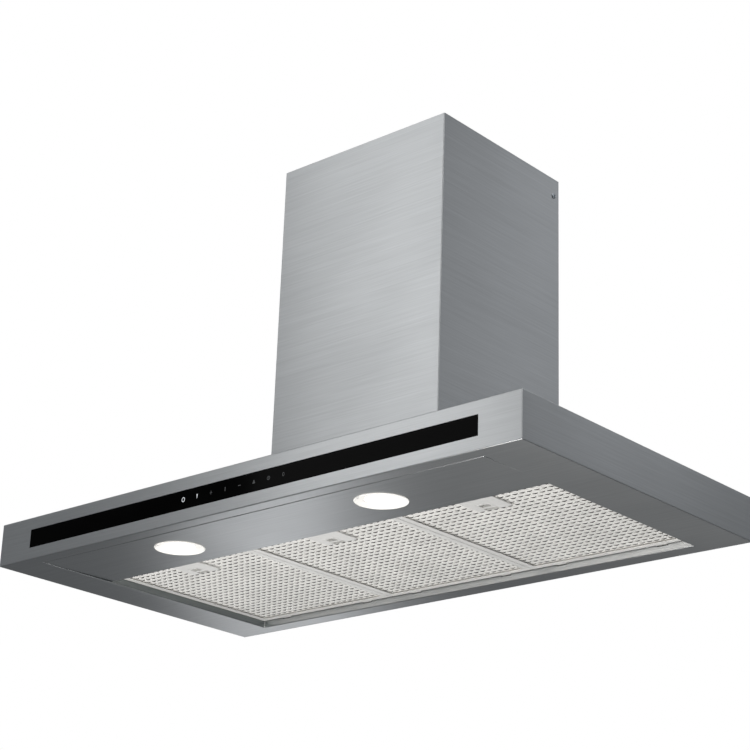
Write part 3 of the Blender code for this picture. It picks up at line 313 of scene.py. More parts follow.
def pressed_sheet(name, base, painted_light_below, painted_light_above):
    """Thin aluminium sheet, slit and pressed into cups, alkali-washed: soft satin white with a
    fine grain. Its lower and upper sides each carry a painted shade of their own."""
    material, tree = start_material(name)
    place = add_node(tree, "ShaderNodeTexCoord")
    # Etched grain is about 0.1 mm, drawn 0.6 mm.
    grain = add_node(
        tree, "ShaderNodeTexNoise", {"Vector": place.outputs["Object"], "Scale": 1 / (0.6 * MM), "Detail": 2.0}
    )
    stain = add_node(
        tree, "ShaderNodeTexNoise", {"Vector": place.outputs["Object"], "Scale": 22.0, "Detail": 3.0}
    )
    spread = add_node(
        tree, "ShaderNodeMath", {0: grain.outputs["Fac"], 1: 0.4, 2: stain.outputs["Fac"]}, operation="MULTIPLY_ADD"
    )
    tone = add_node(tree, "ShaderNodeMapRange", {0: spread.outputs[0], 1: 0.45, 2: 0.95, 3: 0.93, 4: 1.04})
    # Painted shade: the tone of a face is set by whether it looks down or up.
    facing = add_node(tree, "ShaderNodeSeparateXYZ", {0: place.outputs["Normal"]})
    painted_side_shade = add_node(
        tree, "ShaderNodeMapRange", {0: facing.outputs["Z"], 1: -0.1, 2: 0.1, 3: painted_light_below, 4: painted_light_above}
    )
    shade_of = add_node(
        tree, "ShaderNodeMath", {0: tone.outputs[0], 1: painted_side_shade.outputs[0]}, operation="MULTIPLY"
    )
    colour = add_node(
        tree,
        "ShaderNodeVectorMath",
        {0: tuple(base)[:3], "Scale": shade_of.outputs[0]},
        operation="SCALE",
    )
    rough = add_node(tree, "ShaderNodeMapRange", {0: stain.outputs["Fac"], 1: 0.3, 2: 0.7, 3: 0.46, 4: 0.56})
    bump = add_node(
        tree, "ShaderNodeBump", {"Strength": 0.15, "Distance": 0.08 * MM, "Height": grain.outputs["Fac"]}
    )
    return close_material(
        material,
        {
            "Base Color": colour.outputs[0],
            "Metallic": 0.35,
            "Roughness": rough.outputs[0],
            "Normal": bump.outputs[0],
        },
    )


def pressed_aluminium(colours):
    """The filter's outer sheet, with painted shade darkening the side that looks into the filter."""
    return pressed_sheet("pressed_aluminium_mesh", colours.pressed, 1.0, 0.15)


def shaded_lining(colours):
    """The sheet behind it, darkened by painted shade on the side that looks out through the slits."""
    return pressed_sheet("pressed_aluminium_lining_painted_shade", colours.pressed, 0.2, 1.0)


def turned_metal(name, base, metallic, low_rough, high_rough, grain, depth, glow=0.0):
    """A metal part with an even grain: die-cast, plated or drawn. Glow is painted light, a faint light of the
    part's own colour though it is no lamp.
    """
    material, tree = start_material(name)
    place = add_node(tree, "ShaderNodeTexCoord")
    pits = add_node(
        tree, "ShaderNodeTexNoise", {"Vector": place.outputs["Object"], "Scale": 1 / grain, "Detail": 3.0}
    )
    cloud = add_node(
        tree, "ShaderNodeTexNoise", {"Vector": place.outputs["Object"], "Scale": 60.0, "Detail": 2.0}
    )
    colour = toned(tree, base, pits.outputs["Fac"], 0.3, 0.7, 0.90, 1.05)
    rough = add_node(
        tree, "ShaderNodeMapRange", {0: cloud.outputs["Fac"], 1: 0.3, 2: 0.7, 3: low_rough, 4: high_rough}
    )
    bump = add_node(
        tree, "ShaderNodeBump", {"Strength": 0.3, "Distance": depth, "Height": pits.outputs["Fac"]}
    )
    return close_material(
        material,
        {
            "Base Color": colour.outputs[0],
            "Metallic": metallic,
            "Roughness": rough.outputs[0],
            "Normal": bump.outputs[0],
            "Emission Color": colour.outputs[0],
            "Emission Strength": glow,
        },
    )


def lacquered_ring(colours):
    """Die-cast zinc ring under white lacquer, with a faint painted glow that stands for light from the lens beside
    it.
    """
    return turned_metal("white_lacquered_casting", colours.ring, 0.0, 0.30, 0.38, 0.5 * MM, 0.01 * MM, 0.10)


def cast_aluminium(colours):
    """Die-cast aluminium: grey and slightly pebbled from the die, with no polish."""
    return turned_metal("die_cast_aluminium", colours.casting, 1.0, 0.50, 0.62, 0.9 * MM, 0.06 * MM)


def zinc_plated_steel(colours):
    """Zinc-plated, blue-passivated screw steel: bright, cool, with fine dull specks."""
    return turned_metal("zinc_plated_steel", linear("B9C0C6"), 1.0, 0.24, 0.36, 0.4 * MM, 0.01 * MM)


def spring_wire(colours):
    """Hard-drawn spring steel: smooth, grey and slightly oily."""
    return turned_metal("drawn_spring_wire", linear("9C9FA2"), 1.0, 0.22, 0.30, 0.3 * MM, 0.004 * MM)


def moulded_plastic(name, base, low_rough, high_rough, grain):
    """Injection-moulded plastic from a spark-eroded tool: an even, fine grain that dulls the gloss."""
    material, tree = start_material(name)
    place = add_node(tree, "ShaderNodeTexCoord")
    grains = add_node(tree, "ShaderNodeTexVoronoi", {"Vector": place.outputs["Object"], "Scale": 1 / grain})
    cloud = add_node(
        tree, "ShaderNodeTexNoise", {"Vector": place.outputs["Object"], "Scale": 30.0, "Detail": 3.0}
    )
    colour = toned(tree, base, cloud.outputs["Fac"], 0.3, 0.7, 0.92, 1.06)
    rough = add_node(
        tree, "ShaderNodeMapRange", {0: grains.outputs["Distance"], 2: 0.6, 3: low_rough, 4: high_rough}
    )
    bump = add_node(
        tree, "ShaderNodeBump", {"Strength": 0.25, "Distance": 0.03 * MM, "Height": grains.outputs["Distance"]}
    )
    return close_material(
        material,
        {
            "Base Color": colour.outputs[0],
            "Roughness": rough.outputs[0],
            "IOR": 1.5,
            "Normal": bump.outputs[0],
        },
    )


def black_abs(colours):
    """ABS, moulded black: deep, with a fine even grain."""
    return moulded_plastic("moulded_black_abs", colours.black, 0.36, 0.50, 0.7 * MM)


def fan_nylon(colours):
    """Glass-filled nylon of the scroll and the fan wheel: charcoal, slightly mottled by the fibres."""
    return moulded_plastic("glass_filled_nylon", linear("2B2D30"), 0.42, 0.58, 1.1 * MM)


def grey_polypropylene(colours):
    """Polypropylene, moulded grey: waxy, with a soft wide highlight."""
    return moulded_plastic("moulded_grey_polypropylene", colours.grey, 0.44, 0.54, 0.9 * MM)


def white_abs(colours):
    """Flame-retardant ABS, moulded off-white."""
    return moulded_plastic("moulded_white_abs", colours.white, 0.36, 0.46, 0.8 * MM)


def lead_sleeve(colours):
    """Soft PVC over a lead: an even grey with a dull sheen."""
    return moulded_plastic("pvc_lead_sleeve", colours.grey, 0.48, 0.58, 1.3 * MM)


def motor_paint(colours):
    """Stoved enamel on a drawn steel casing: dark grey, with the ripple of a sprayed coat."""
    material, tree = start_material("stoved_enamel_casing")
    place = add_node(tree, "ShaderNodeTexCoord")
    # Ripples about 1.5 mm across.
    ripple = add_node(
        tree, "ShaderNodeTexNoise", {"Vector": place.outputs["Object"], "Scale": 1 / (1.5 * MM), "Detail": 1.0}
    )
    colour = toned(tree, colours.motor, ripple.outputs["Fac"], 0.3, 0.7, 0.94, 1.05)
    bump = add_node(
        tree, "ShaderNodeBump", {"Strength": 0.2, "Distance": 0.1 * MM, "Height": ripple.outputs["Fac"]}
    )
    return close_material(
        material,
        {
            "Base Color": colour.outputs[0],
            "Roughness": 0.38,
            "Coat Weight": 0.3,
            "Coat Roughness": 0.2,
            "Normal": bump.outputs[0],
        },
    )


def float_glass(colours):
    """Float glass printed black on its back: nearly no colour of its own, a sharp dim reflection,
    and a trace of dust that dulls it here and there."""
    material, tree = start_material("black_printed_float_glass")
    place = add_node(tree, "ShaderNodeTexCoord")
    dust = add_node(
        tree, "ShaderNodeTexNoise", {"Vector": place.outputs["Object"], "Scale": 18.0, "Detail": 5.0}
    )
    colour = toned(tree, colours.glass, dust.outputs["Fac"], 0.4, 0.8, 0.9, 1.8)
    rough = add_node(tree, "ShaderNodeMapRange", {0: dust.outputs["Fac"], 1: 0.4, 2: 0.8, 3: 0.05, 4: 0.12})
    return close_material(
        material,
        {"Base Color": colour.outputs[0], "Roughness": rough.outputs[0], "IOR": 1.52, "Specular IOR Level": 0.02},
    )


def key_film(name, colours, strength):
    """Translucent film lit from behind: even light, with a fine speckle from its diffusing dots."""
    material, tree = start_material(name)
    place = add_node(tree, "ShaderNodeTexCoord")
    # Pitch of the diffusing dots is about 0.2 mm, drawn 0.8 mm.
    dots = add_node(tree, "ShaderNodeTexNoise", {"Vector": place.outputs["Object"], "Scale": 1 / (0.8 * MM)})
    level = add_node(
        tree, "ShaderNodeMapRange", {0: dots.outputs["Fac"], 1: 0.3, 2: 0.7, 3: 0.85 * strength, 4: 1.1 * strength}
    )
    return close_material(
        material,
        {
            "Base Color": linear("101112"),
            "Roughness": 0.35,
            "Emission Color": tuple(colours.icons),
            "Emission Strength": level.outputs[0],
        },
    )


def lit_film(colours):
    """Film of the keys that are on: clear white marks."""
    return key_film("key_film_lit", colours, 0.85)


def dim_film(colours):
    """Film of the keys that are off: marks hardly lighter than the glass, drawn with a faint painted glow though no
    lamp behind them is on.
    """
    return key_film("key_film_dim", colours, 0.05)


def opal_lens(colours):
    """Opal acrylic lens over the diodes: white light with a fine grain, under a smooth skin."""
    material, tree = start_material("opal_acrylic_lens")
    place = add_node(tree, "ShaderNodeTexCoord")
    # The diffusing grain is far too fine to see, so it is drawn 1.5 mm.
    grain = add_node(
        tree, "ShaderNodeTexNoise", {"Vector": place.outputs["Object"], "Scale": 1 / (1.5 * MM), "Detail": 1.0}
    )
    level = add_node(tree, "ShaderNodeMapRange", {0: grain.outputs["Fac"], 1: 0.3, 2: 0.7, 3: 1.35, 4: 1.6})
    return close_material(
        material,
        {
            "Base Color": linear("F4F4F0"),
            "Roughness": 0.28,
            "IOR": 1.49,
            "Emission Color": tuple(colours.glow),
            "Emission Strength": level.outputs[0],
        },
    )


def solder_mask(colours):
    """Glass-epoxy board under green solder mask, with lighter copper runs under it."""
    material, tree = start_material("solder_mask_board")
    place = add_node(tree, "ShaderNodeTexCoord")
    # Runs about 2 mm apart.
    runs = add_node(
        tree,
        "ShaderNodeTexBrick",
        {
            "Vector": place.outputs["Object"],
            "Color1": linear("1E5A38"),
            "Color2": linear("184C2F"),
            "Mortar": linear("2F7A4C"),
            "Scale": 1.0,
            "Mortar Size": 0.35 * MM,
            "Brick Width": 11.0 * MM,
            "Row Height": 2.2 * MM,
        },
    )
    cloud = add_node(tree, "ShaderNodeTexNoise", {"Vector": place.outputs["Object"], "Scale": 90.0})
    rough = add_node(tree, "ShaderNodeMapRange", {0: cloud.outputs["Fac"], 1: 0.3, 2: 0.7, 3: 0.28, 4: 0.40})
    return close_material(
        material,
        {"Base Color": runs.outputs["Color"], "Roughness": rough.outputs[0], "IOR": 1.55},
    )


# Record's slot name: the function that makes its finish.
FINISHES = {
    "brushed_stainless": brushed_stainless,
    "painted_recess_shade": painted_recess_shade,
    "screw_steel": zinc_plated_steel,
    "galvanised_sheet": galvanised_sheet,
    "filter_aluminium": rolled_aluminium,
    "expanded_aluminium": pressed_aluminium,
    "shaded_lining": shaded_lining,
    "spring_steel": spring_wire,
    "black_glass": float_glass,
    "black_plastic": black_abs,
    "fan_plastic": fan_nylon,
    "grey_plastic": grey_polypropylene,
    "white_plastic": white_abs,
    "motor_casing": motor_paint,
    "cast_aluminium": cast_aluminium,
    "lamp_ring": lacquered_ring,
    "lamp_lens": opal_lens,
    "circuit_board": solder_mask,
    "lead_sleeve": lead_sleeve,
    "key_film_lit": lit_film,
    "key_film_dim": dim_film,
}
made_finishes = {}


def finish(name):
    """The material of a finish, made the first time that it is asked for."""
    if name not in made_finishes:
        made_finishes[name] = FINISHES[name](bpy.context.scene.hood_colours)
    return made_finishes[name]


# ---------------------------------------------------------------- mesh helpers


def object_of(name, bm):
    """A new object that holds this bmesh, in the scene."""
    mesh = bpy.data.meshes.new(name)
    bm.to_mesh(mesh)
    bm.free()
    obj = bpy.data.objects.new(name, mesh)
    bpy.context.scene.collection.objects.link(obj)
    return obj


def settle(obj):
    """Turns the object's modifiers into mesh."""
    graph = bpy.context.evaluated_depsgraph_get()
    mesh = bpy.data.meshes.new_from_object(obj.evaluated_get(graph))
    obj.modifiers.clear()
    obj.data = mesh
    return obj


def bevel(obj, width, segments, angle=None):
    """Rounds the object's edges, or only those sharper than the angle in degrees."""
    edges = obj.modifiers.new("edges", "BEVEL")
    edges.width = width
    edges.segments = segments
    if angle is not None:
        edges.limit_method = "ANGLE"
        edges.angle_limit = math.radians(angle)


def thicken(obj, sheet, even=True):
    """Thickens an open sheet inwards."""
    solid = obj.modifiers.new("sheet", "SOLIDIFY")
    solid.thickness = sheet
    solid.offset = -1.0
    solid.use_even_offset = even


def keep_flat(obj):
    """Large faces stay flat under smooth shading."""
    weighted = obj.modifiers.new("flat_faces", "WEIGHTED_NORMAL")
    weighted.keep_sharp = True
    weighted.weight = 100


def shade(obj, angle=32):
    """Smooth shading, except across edges sharper than the angle in degrees; large faces stay flat."""
    obj.data.polygons.foreach_set("use_smooth", [True] * len(obj.data.polygons))
    obj.data.set_sharp_from_angle(angle=math.radians(angle))
    keep_flat(obj)
    return settle(obj)


def dress(obj, body, slot, nodes=(), finish_name=None):
    """Gives a finished piece its material and its body, and hides the CAD nodes that it stands for."""
    obj.data.materials.clear()
    obj.data.materials.append(finish(finish_name or slot))
    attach(obj, body)
    if nodes:
        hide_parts(*nodes)
    return obj


def cells(bm, us, vs, place, holes=()):
    """A flat face as quads between the breaks us and vs, with holes left open.
    A hole is (low u, high u, low v, high v)."""
    points = {(u, v): bm.verts.new(place(u, v)) for u in us for v in vs}
    for u0, u1 in zip(us, us[1:]):
        for v0, v1 in zip(vs, vs[1:]):
            middle_u, middle_v = (u0 + u1) / 2, (v0 + v1) / 2
            if any(a < middle_u < b and c < middle_v < d for a, b, c, d in holes):
                continue
            bm.faces.new((points[u0, v0], points[u1, v0], points[u1, v1], points[u0, v1]))
    loose = [v for v in points.values() if not v.link_faces]
    bmesh.ops.delete(bm, geom=loose, context="VERTS")


def weld(bm):
    bmesh.ops.remove_doubles(bm, verts=bm.verts, dist=0.01 * MM)
    bmesh.ops.recalc_face_normals(bm, faces=bm.faces)


def box_into(bm, low, high):
    """Adds a closed box to the bmesh."""
    middle = (Vector(low) + Vector(high)) / 2
    size = Vector(high) - Vector(low)
    bmesh.ops.create_cube(bm, size=1.0, matrix=Matrix.Translation(middle) @ Matrix.Diagonal((*size, 1.0)))


def drum_into(bm, centre, radius, half_length, axis, steps):
    """Adds a closed cylinder along X, Y or Z to the bmesh."""
    turn = {
        "X": Matrix.Rotation(math.pi / 2, 4, "Y"),
        "Y": Matrix.Rotation(math.pi / 2, 4, "X"),
        "Z": Matrix.Identity(4),
    }
    bmesh.ops.create_cone(
        bm,
        cap_ends=True,
        segments=steps,
        radius1=radius,
        radius2=radius,
        depth=2 * half_length,
        matrix=Matrix.Translation(centre) @ turn[axis],
    )


def cut_with(obj, bm):
    """Cuts the bmesh's closed shapes out of the object."""
    cutter = object_of("cutter", bm)
    modifier = obj.modifiers.new("cut", "BOOLEAN")
    modifier.object = cutter
    modifier.operation = "DIFFERENCE"
    modifier.solver = "EXACT"
    settle(obj)
    bpy.data.objects.remove(cutter)
    return obj


def fold(obj, radius, steps, sheet):
    """Rounds the folds of an open sheet, and thickens it inwards."""
    bevel(obj, radius, steps, 40)
    thicken(obj, sheet)
    return settle(obj)


def lathe(bm, profile, steps, matrix=None):
    """Turns a closed (radius, height) outline about Z."""
    rings = []
    for k in range(steps):
        angle = 2 * math.pi * k / steps
        rings.append([bm.verts.new((r * math.cos(angle), r * math.sin(angle), z)) for r, z in profile])
    for k in range(steps):
        here, there = rings[k], rings[(k + 1) % steps]
        for j in range(len(profile)):
            i = (j + 1) % len(profile)
            if profile[j][0] < 1e-9 and profile[i][0] < 1e-9:
                continue
            corners = []
            for vert in (here[j], there[j], there[i], here[i]):
                if all((vert.co - other.co).length > 1e-9 for other in corners):
                    corners.append(vert)
            bm.faces.new(corners)
    bmesh.ops.remove_doubles(bm, verts=bm.verts, dist=1e-7)
    bmesh.ops.recalc_face_normals(bm, faces=bm.faces)
    if matrix is not None:
        bm.transform(matrix)


def arc(centre, radius, start, end, steps):
    """Points of an arc in degrees, its ends included."""
    points = []
    for k in range(steps + 1):
        angle = math.radians(start + (end - start) * k / steps)
        points.append((centre[0] + radius * math.cos(angle), centre[1] + radius * math.sin(angle)))
    return points


# ---------------------------------------------------------------- canopy


class HOOD_OT_canopy(bpy.types.Operator):
    """Folded skin of the canopy, with the recess for the lamps and the filters"""

    bl_idname = "hood.canopy"
    bl_label = "Canopy skin"

    def execute(self, context):
        sizes = context.scene.hood_sizes
        recess_depth = 24.0 * MM
        low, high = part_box("canopy_shell")
        half_glass, glass_low, glass_high = 388.0 * MM, -13.2 * MM, 12.6 * MM
        half_recess, recess_front, recess_back = 380.5 * MM, -459.0 * MM, -27.0 * MM
        half_air, air_front, air_back = 112.0 * MM, -233.0 * MM, -32.0 * MM
        xs = [low.x, -half_glass, -half_recess, -half_air, half_air, half_recess, half_glass, high.x]
        ys = [low.y, recess_front, air_front, air_back, recess_back, high.y]
        zs = [low.z, glass_low, glass_high, high.z]
        bm = bmesh.new()
        cells(bm, xs, zs, lambda u, v: (u, low.y, v), [(-half_glass, half_glass, glass_low, glass_high)])
        cells(
            bm, xs, ys, lambda u, v: (u, v, low.z), [(-half_recess, half_recess, recess_front, recess_back)]
        )
        cells(bm, xs, ys, lambda u, v: (u, v, high.z), [(-half_air, half_air, air_front, air_back)])
        for x in (low.x, high.x):
            cells(bm, ys, zs, lambda u, v, x=x: (x, u, v))
        bmesh.ops.remove_doubles(bm, verts=bm.verts, dist=0.01 * MM)
        rim = [
            e
            for e in bm.edges
            if e.is_boundary
            and all(
                abs(v.co.z - low.z) < 1e-6 and abs(v.co.x) < half_recess + 1e-6 and v.co.y < high.y - 1e-4
                for v in e.verts
            )
        ]
        walls = bmesh.ops.extrude_edge_only(bm, edges=rim)
        raised = [v for v in walls["geom"] if isinstance(v, bmesh.types.BMVert)]
        bmesh.ops.translate(bm, verts=raised, vec=(0, 0, recess_depth))
        weld(bm)
        skin = object_of("canopy_skin", bm)
        fold(skin, sizes.fold_radius, 3, sizes.sheet)
        cutters = bmesh.new()
        for name in FILTERS:
            frame_low, frame_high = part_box(f"filter_frame_{name}")
            middle = (frame_low.x + frame_high.x) / 2
            height = frame_low.z + 0.5 * MM
            for _, side in SIDES:
                x = middle + side * 80.0 * MM
                box_into(
                    cutters,
                    (x - 8.5 * MM, recess_back - 4 * MM, height - 2.2 * MM),
                    (x + 8.5 * MM, recess_back + 4 * MM, height + 2.2 * MM),
                )
        cut_with(skin, cutters)
        dress(shade(skin), "root", "brushed_stainless", ("canopy_shell", "underside_frame"))
        # Painted shade: the recess's end walls take the darker steel, as if in shadow.
        skin.data.materials.append(finish("painted_recess_shade"))
        for face in skin.data.polygons:
            outward = face.center.x * face.normal.x
            if abs(face.normal.x) > 0.9 and outward < 0 and abs(face.center.x) < half_recess + 1e-4:
                face.material_index = 1
        return {"FINISHED"}


class HOOD_OT_light_panel(bpy.types.Operator):
    """Lamp tray in the front of the recess"""

    bl_idname = "hood.light_panel"
    bl_label = "Light panel"

    def execute(self, context):
        sizes = context.scene.hood_sizes
        low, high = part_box("light_panel")
        depth = high.y - low.y
        lamp_low, lamp_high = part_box("lamp_bezel_right")
        lamp_x = (lamp_low.x + lamp_high.x) / 2
        lamp_y = (lamp_low.y + lamp_high.y) / 2

        def place(x, y):
            return (x, y, low.z + TRAY_RISE * (y - low.y) / depth)

        bm = bmesh.new()
        cells(bm, [low.x, high.x], [low.y, high.y], place)
        walls = bmesh.ops.extrude_edge_only(bm, edges=list(bm.edges))
        for vert in walls["geom"]:
            if isinstance(vert, bmesh.types.BMVert):
                vert.co.z = high.z
        weld(bm)
        tray = object_of("light_tray", bm)
        fold(tray, sizes.fold_radius, 3, sizes.sheet)
        cutters = bmesh.new()
        for _, side in SIDES:
            drum_into(cutters, (side * lamp_x, lamp_y, low.z), 31.0 * MM, 10 * MM, "Z", 96)
        for name in FILTERS:
            bar_low, bar_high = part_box(f"filter_catch_{name}")
            middle = sum(corner.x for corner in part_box(f"filter_frame_{name}")) / 2
            slot_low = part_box(f"filter_frame_{name}")[0].z + 1.0 * MM
            box_into(
                cutters,
                (middle - 15.1 * MM, high.y - 4 * MM, slot_low),
                (middle + 5.1 * MM, high.y + 4 * MM, slot_low + 3.8 * MM),
            )
        cut_with(tray, cutters)
        dress(shade(tray), "root", "brushed_stainless", ("light_panel",))
        return {"FINISHED"}


# ---------------------------------------------------------------- chimney


def chimney_strip(name, low, high, lip, sizes, radius):
    """A sheet folded round three sides, with a lip turned in along each rear edge."""
    left, right, front, back = low.x, high.x, low.y, high.y
    turns = 5
    outline = [(left + lip, back)]
    outline += arc((left + radius, back - radius), radius, 90, 180, turns)
    outline += arc((left + radius, front + radius), radius, 180, 270, turns)
    outline += arc((right - radius, front + radius), radius, 270, 360, turns)
    outline += arc((right - radius, back - radius), radius, 0, 90, turns)
    outline += [(right - lip, back)]
    bm = bmesh.new()
    rows = [[bm.verts.new((x, y, z)) for x, y in outline] for z in (low.z, high.z)]
    for k in range(len(outline) - 1):
        bm.faces.new((rows[0][k], rows[0][k + 1], rows[1][k + 1], rows[1][k]))
    obj = object_of(name, bm)
    thicken(obj, sizes.sheet)
    bevel(obj, 0.2 * MM, 1, 60)
    return settle(obj)


class HOOD_OT_chimney(bpy.types.Operator):
    """Outer flue cover, and the inner one that slides up out of it"""

    bl_idname = "hood.chimney"
    bl_label = "Chimney covers"

    def execute(self, context):
        sizes = context.scene.hood_sizes
        low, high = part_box("chimney_lower")
        outer = chimney_strip("chimney_cover", low, high, 12.0 * MM, sizes, 1.5 * MM)
        holes = bmesh.new()
        screw_low, screw_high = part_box("chimney_screw_right")
        screw = (screw_low + screw_high) / 2
        for _, side in SIDES:
            drum_into(holes, (side * high.x, screw.y, screw.z), 2.3 * MM, 8 * MM, "X", 32)
        cut_with(outer, holes)
        dress(shade(outer), "root", "brushed_stainless", ("chimney_lower",))

        low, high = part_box("chimney_upper")
        inner = chimney_strip("chimney_inner_cover", low, high, 10.0 * MM, sizes, 1.5 * MM)
        dress(shade(inner), "chimney_inner", "brushed_stainless", ("chimney_upper",))
        return {"FINISHED"}


# ---------------------------------------------------------------- controls


def ring_icon(bm, x, z, y, wide, tall, line):
    """An oval ring, flat on the glass."""
    steps = 28
    loops = []
    for inset in (0.0, line):
        loops.append(
            [
                bm.verts.new(
                    (
                        x + (wide / 2 - inset) * math.cos(2 * math.pi * k / steps),
                        y,
                        z + (tall / 2 - inset) * math.sin(2 * math.pi * k / steps),
                    )
                )
                for k in range(steps)
            ]
        )
    for k in range(steps):
        j = (k + 1) % steps
        bm.faces.new((loops[0][k], loops[0][j], loops[1][j], loops[1][k]))


def bar_icon(bm, x, z, y, wide, tall):
    corners = ((-1, -1), (1, -1), (1, 1), (-1, 1))
    bm.faces.new([bm.verts.new((x + a * wide / 2, y, z + b * tall / 2)) for a, b in corners])


def wedge_icon(bm, x, z, y, wide, tall):
    """A triangle with a cut foot, point up."""
    outline = ((-0.5, -0.5), (0.5, -0.5), (0.12, 0.5), (-0.12, 0.5))
    bm.faces.new([bm.verts.new((x + a * wide, y, z + b * tall)) for a, b in outline])


def raise_icons(bm, name, depth, finish_name):
    """Gives flat marks a little thickness, and makes them one piece."""
    bmesh.ops.recalc_face_normals(bm, faces=bm.faces)
    grown = bmesh.ops.extrude_face_region(bm, geom=list(bm.faces))
    moved = [v for v in grown["geom"] if isinstance(v, bmesh.types.BMVert)]
    bmesh.ops.translate(bm, verts=moved, vec=(0, depth, 0))
    bmesh.ops.recalc_face_normals(bm, faces=bm.faces)
    return dress(object_of(name, bm), "root", "black_glass", finish_name=finish_name)


class HOOD_OT_control(bpy.types.Operator):
    """Glass strip of the touch keys, and the marks behind it"""

    bl_idname = "hood.control"
    bl_label = "Control glass"

    def execute(self, context):
        low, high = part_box("control_glass")
        film = 0.05 * MM
        bm = bmesh.new()
        box_into(bm, low + Vector((0, film, 0)), high)
        strip = object_of("glass_strip", bm)
        bevel(strip, 0.5 * MM, 3)
        settle(strip)
        dress(shade(strip, 20), "root", "black_glass", ("control_glass",))

        pitch = 25.0 * MM
        keys = [(k - 3.5) * pitch for k in range(8)]
        y = low.y
        lit = bmesh.new()
        ring_icon(lit, keys[0], 0.0, y, 5.6 * MM, 6.4 * MM, 0.9 * MM)
        wedge_icon(lit, keys[1], 0.0, y, 2.0 * MM, -5.6 * MM)
        raise_icons(lit, "key_marks_lit", film, "key_film_lit")
        dim = bmesh.new()
        bar_icon(dim, keys[2], 0.0, y, 4.2 * MM, 0.8 * MM)
        bar_icon(dim, keys[2], 1.5 * MM, y, 0.8 * MM, 1.8 * MM)
        bar_icon(dim, keys[2], -1.5 * MM, y, 0.8 * MM, 1.8 * MM)
        bar_icon(dim, keys[3], 0.0, y, 1.2 * MM, 5.4 * MM)
        bar_icon(dim, keys[4], 0.0, y, 4.6 * MM, 1.0 * MM)
        wedge_icon(dim, keys[5], 0.0, y, 4.4 * MM, 4.6 * MM)
        ring_icon(dim, keys[6], 0.0, y, 5.2 * MM, 5.2 * MM, 0.8 * MM)
        bar_icon(dim, keys[6], 0.0, y, 0.8 * MM, 2.2 * MM)
        ring_icon(dim, keys[7], 0.0, y, 3.4 * MM, 5.2 * MM, 0.7 * MM)
        raise_icons(dim, "key_marks_dim", film, "key_film_dim")
        return {"FINISHED"}


# ---------------------------------------------------------------- lamps


class HOOD_OT_lamps(bpy.types.Operator):
    """Recessed lamps: a white ring with a dished cone and a spring clip, and a domed opal lens"""

    bl_idname = "hood.lamps"
    bl_label = "Lamps"

    def execute(self, context):
        sizes = context.scene.hood_sizes
        tray_low, tray_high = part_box("light_panel")
        slope = math.atan2(TRAY_RISE, tray_high.y - tray_low.y)
        lamp_x, lamp_y = 176.0 * MM, -399.0 * MM
        ring_radius = 33.75 * MM
        lens_radius = 20.4 * MM
        throat = lens_radius + 0.4 * MM
        ring_profile = [
            (30.5 * MM, 6.0 * MM),
            (30.5 * MM, -0.05 * MM),
            (ring_radius - 0.1 * MM, -0.05 * MM),
            (ring_radius, -0.3 * MM),
            (ring_radius - 0.1 * MM, -0.75 * MM),
            (ring_radius - 0.5 * MM, -1.0 * MM),
            (ring_radius - 1.1 * MM, -1.1 * MM),
            (ring_radius - 1.7 * MM, -0.95 * MM),
            (ring_radius - 2.2 * MM, -0.55 * MM),
            (ring_radius - 3.2 * MM, -0.25 * MM),
            (27.0 * MM, 0.35 * MM),
            (throat + 1.2 * MM, 1.0 * MM),
            (throat + 0.4 * MM, 1.3 * MM),
            (throat, 1.8 * MM),
            (throat, 6.0 * MM),
        ]
        crown = sizes.lens_crown
        lens_profile = [(0.0, 3.6 * MM), (lens_radius, 3.6 * MM), (lens_radius, 1.7 * MM)]
        dome_steps = 8
        for k in range(1, dome_steps + 1):
            share = 1 - k / dome_steps
            lens_profile.append((lens_radius * share, 1.5 * MM - crown * (1 - share**2)))
        for name, side in SIDES:
            low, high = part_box(f"lamp_bezel_{name}")
            z = tray_low.z + math.tan(slope) * (((low + high) / 2).y - tray_low.y)
            seat = Matrix.Translation((side * lamp_x, lamp_y, z)) @ Matrix.Rotation(slope, 4, "X")
            bm = bmesh.new()
            lathe(bm, ring_profile, 96, seat)
            ring = object_of(f"lamp_ring_{name}", bm)
            notch = bmesh.new()
            notch_at = seat @ Matrix.Rotation(math.radians(-121), 4, "Z")
            box_into(notch, (28.6 * MM, -2.2 * MM, -3 * MM), (32.0 * MM, 2.2 * MM, 2.5 * MM))
            notch.transform(notch_at)
            cut_with(ring, notch)
            dress(shade(ring, 40), "root", "lamp_ring", (f"lamp_bezel_{name}",))
            bm = bmesh.new()
            box_into(bm, (28.9 * MM, -0.9 * MM, 0.2 * MM), (31.6 * MM, 0.9 * MM, 1.4 * MM))
            bm.transform(notch_at)
            clip = object_of(f"lamp_clip_{name}", bm)
            bevel(clip, 0.2 * MM, 2)
            settle(clip)
            dress(shade(clip), "root", "screw_steel")
            bm = bmesh.new()
            lathe(bm, lens_profile, 72, seat)
            dress(shade(object_of(f"lamp_glow_{name}", bm), 50), "root", "lamp_lens", (f"lamp_lens_{name}",))
        return {"FINISHED"}


# ---------------------------------------------------------------- filters


def cup_rows(u):
    """The places v of the rows of points through a cell at u, each with its depth from 0 to 1. The sheet is
    slit along the first pair, and the cup is pressed out behind the slit and dies away to the rear."""
    arch = max(0.0, math.cos(math.pi * u)) ** 0.8
    mouth = -0.08 - 0.22 * (2 * u) ** 2
    rows = [(-0.5, 0.0), (mouth - 0.08 * arch - 0.01, 0.0)]
    cup_steps = 4
    for k in range(cup_steps + 1):
        share = k / cup_steps
        rows.append((mouth + (0.44 - mouth) * share, arch * (1 - share**1.7)))
    return rows


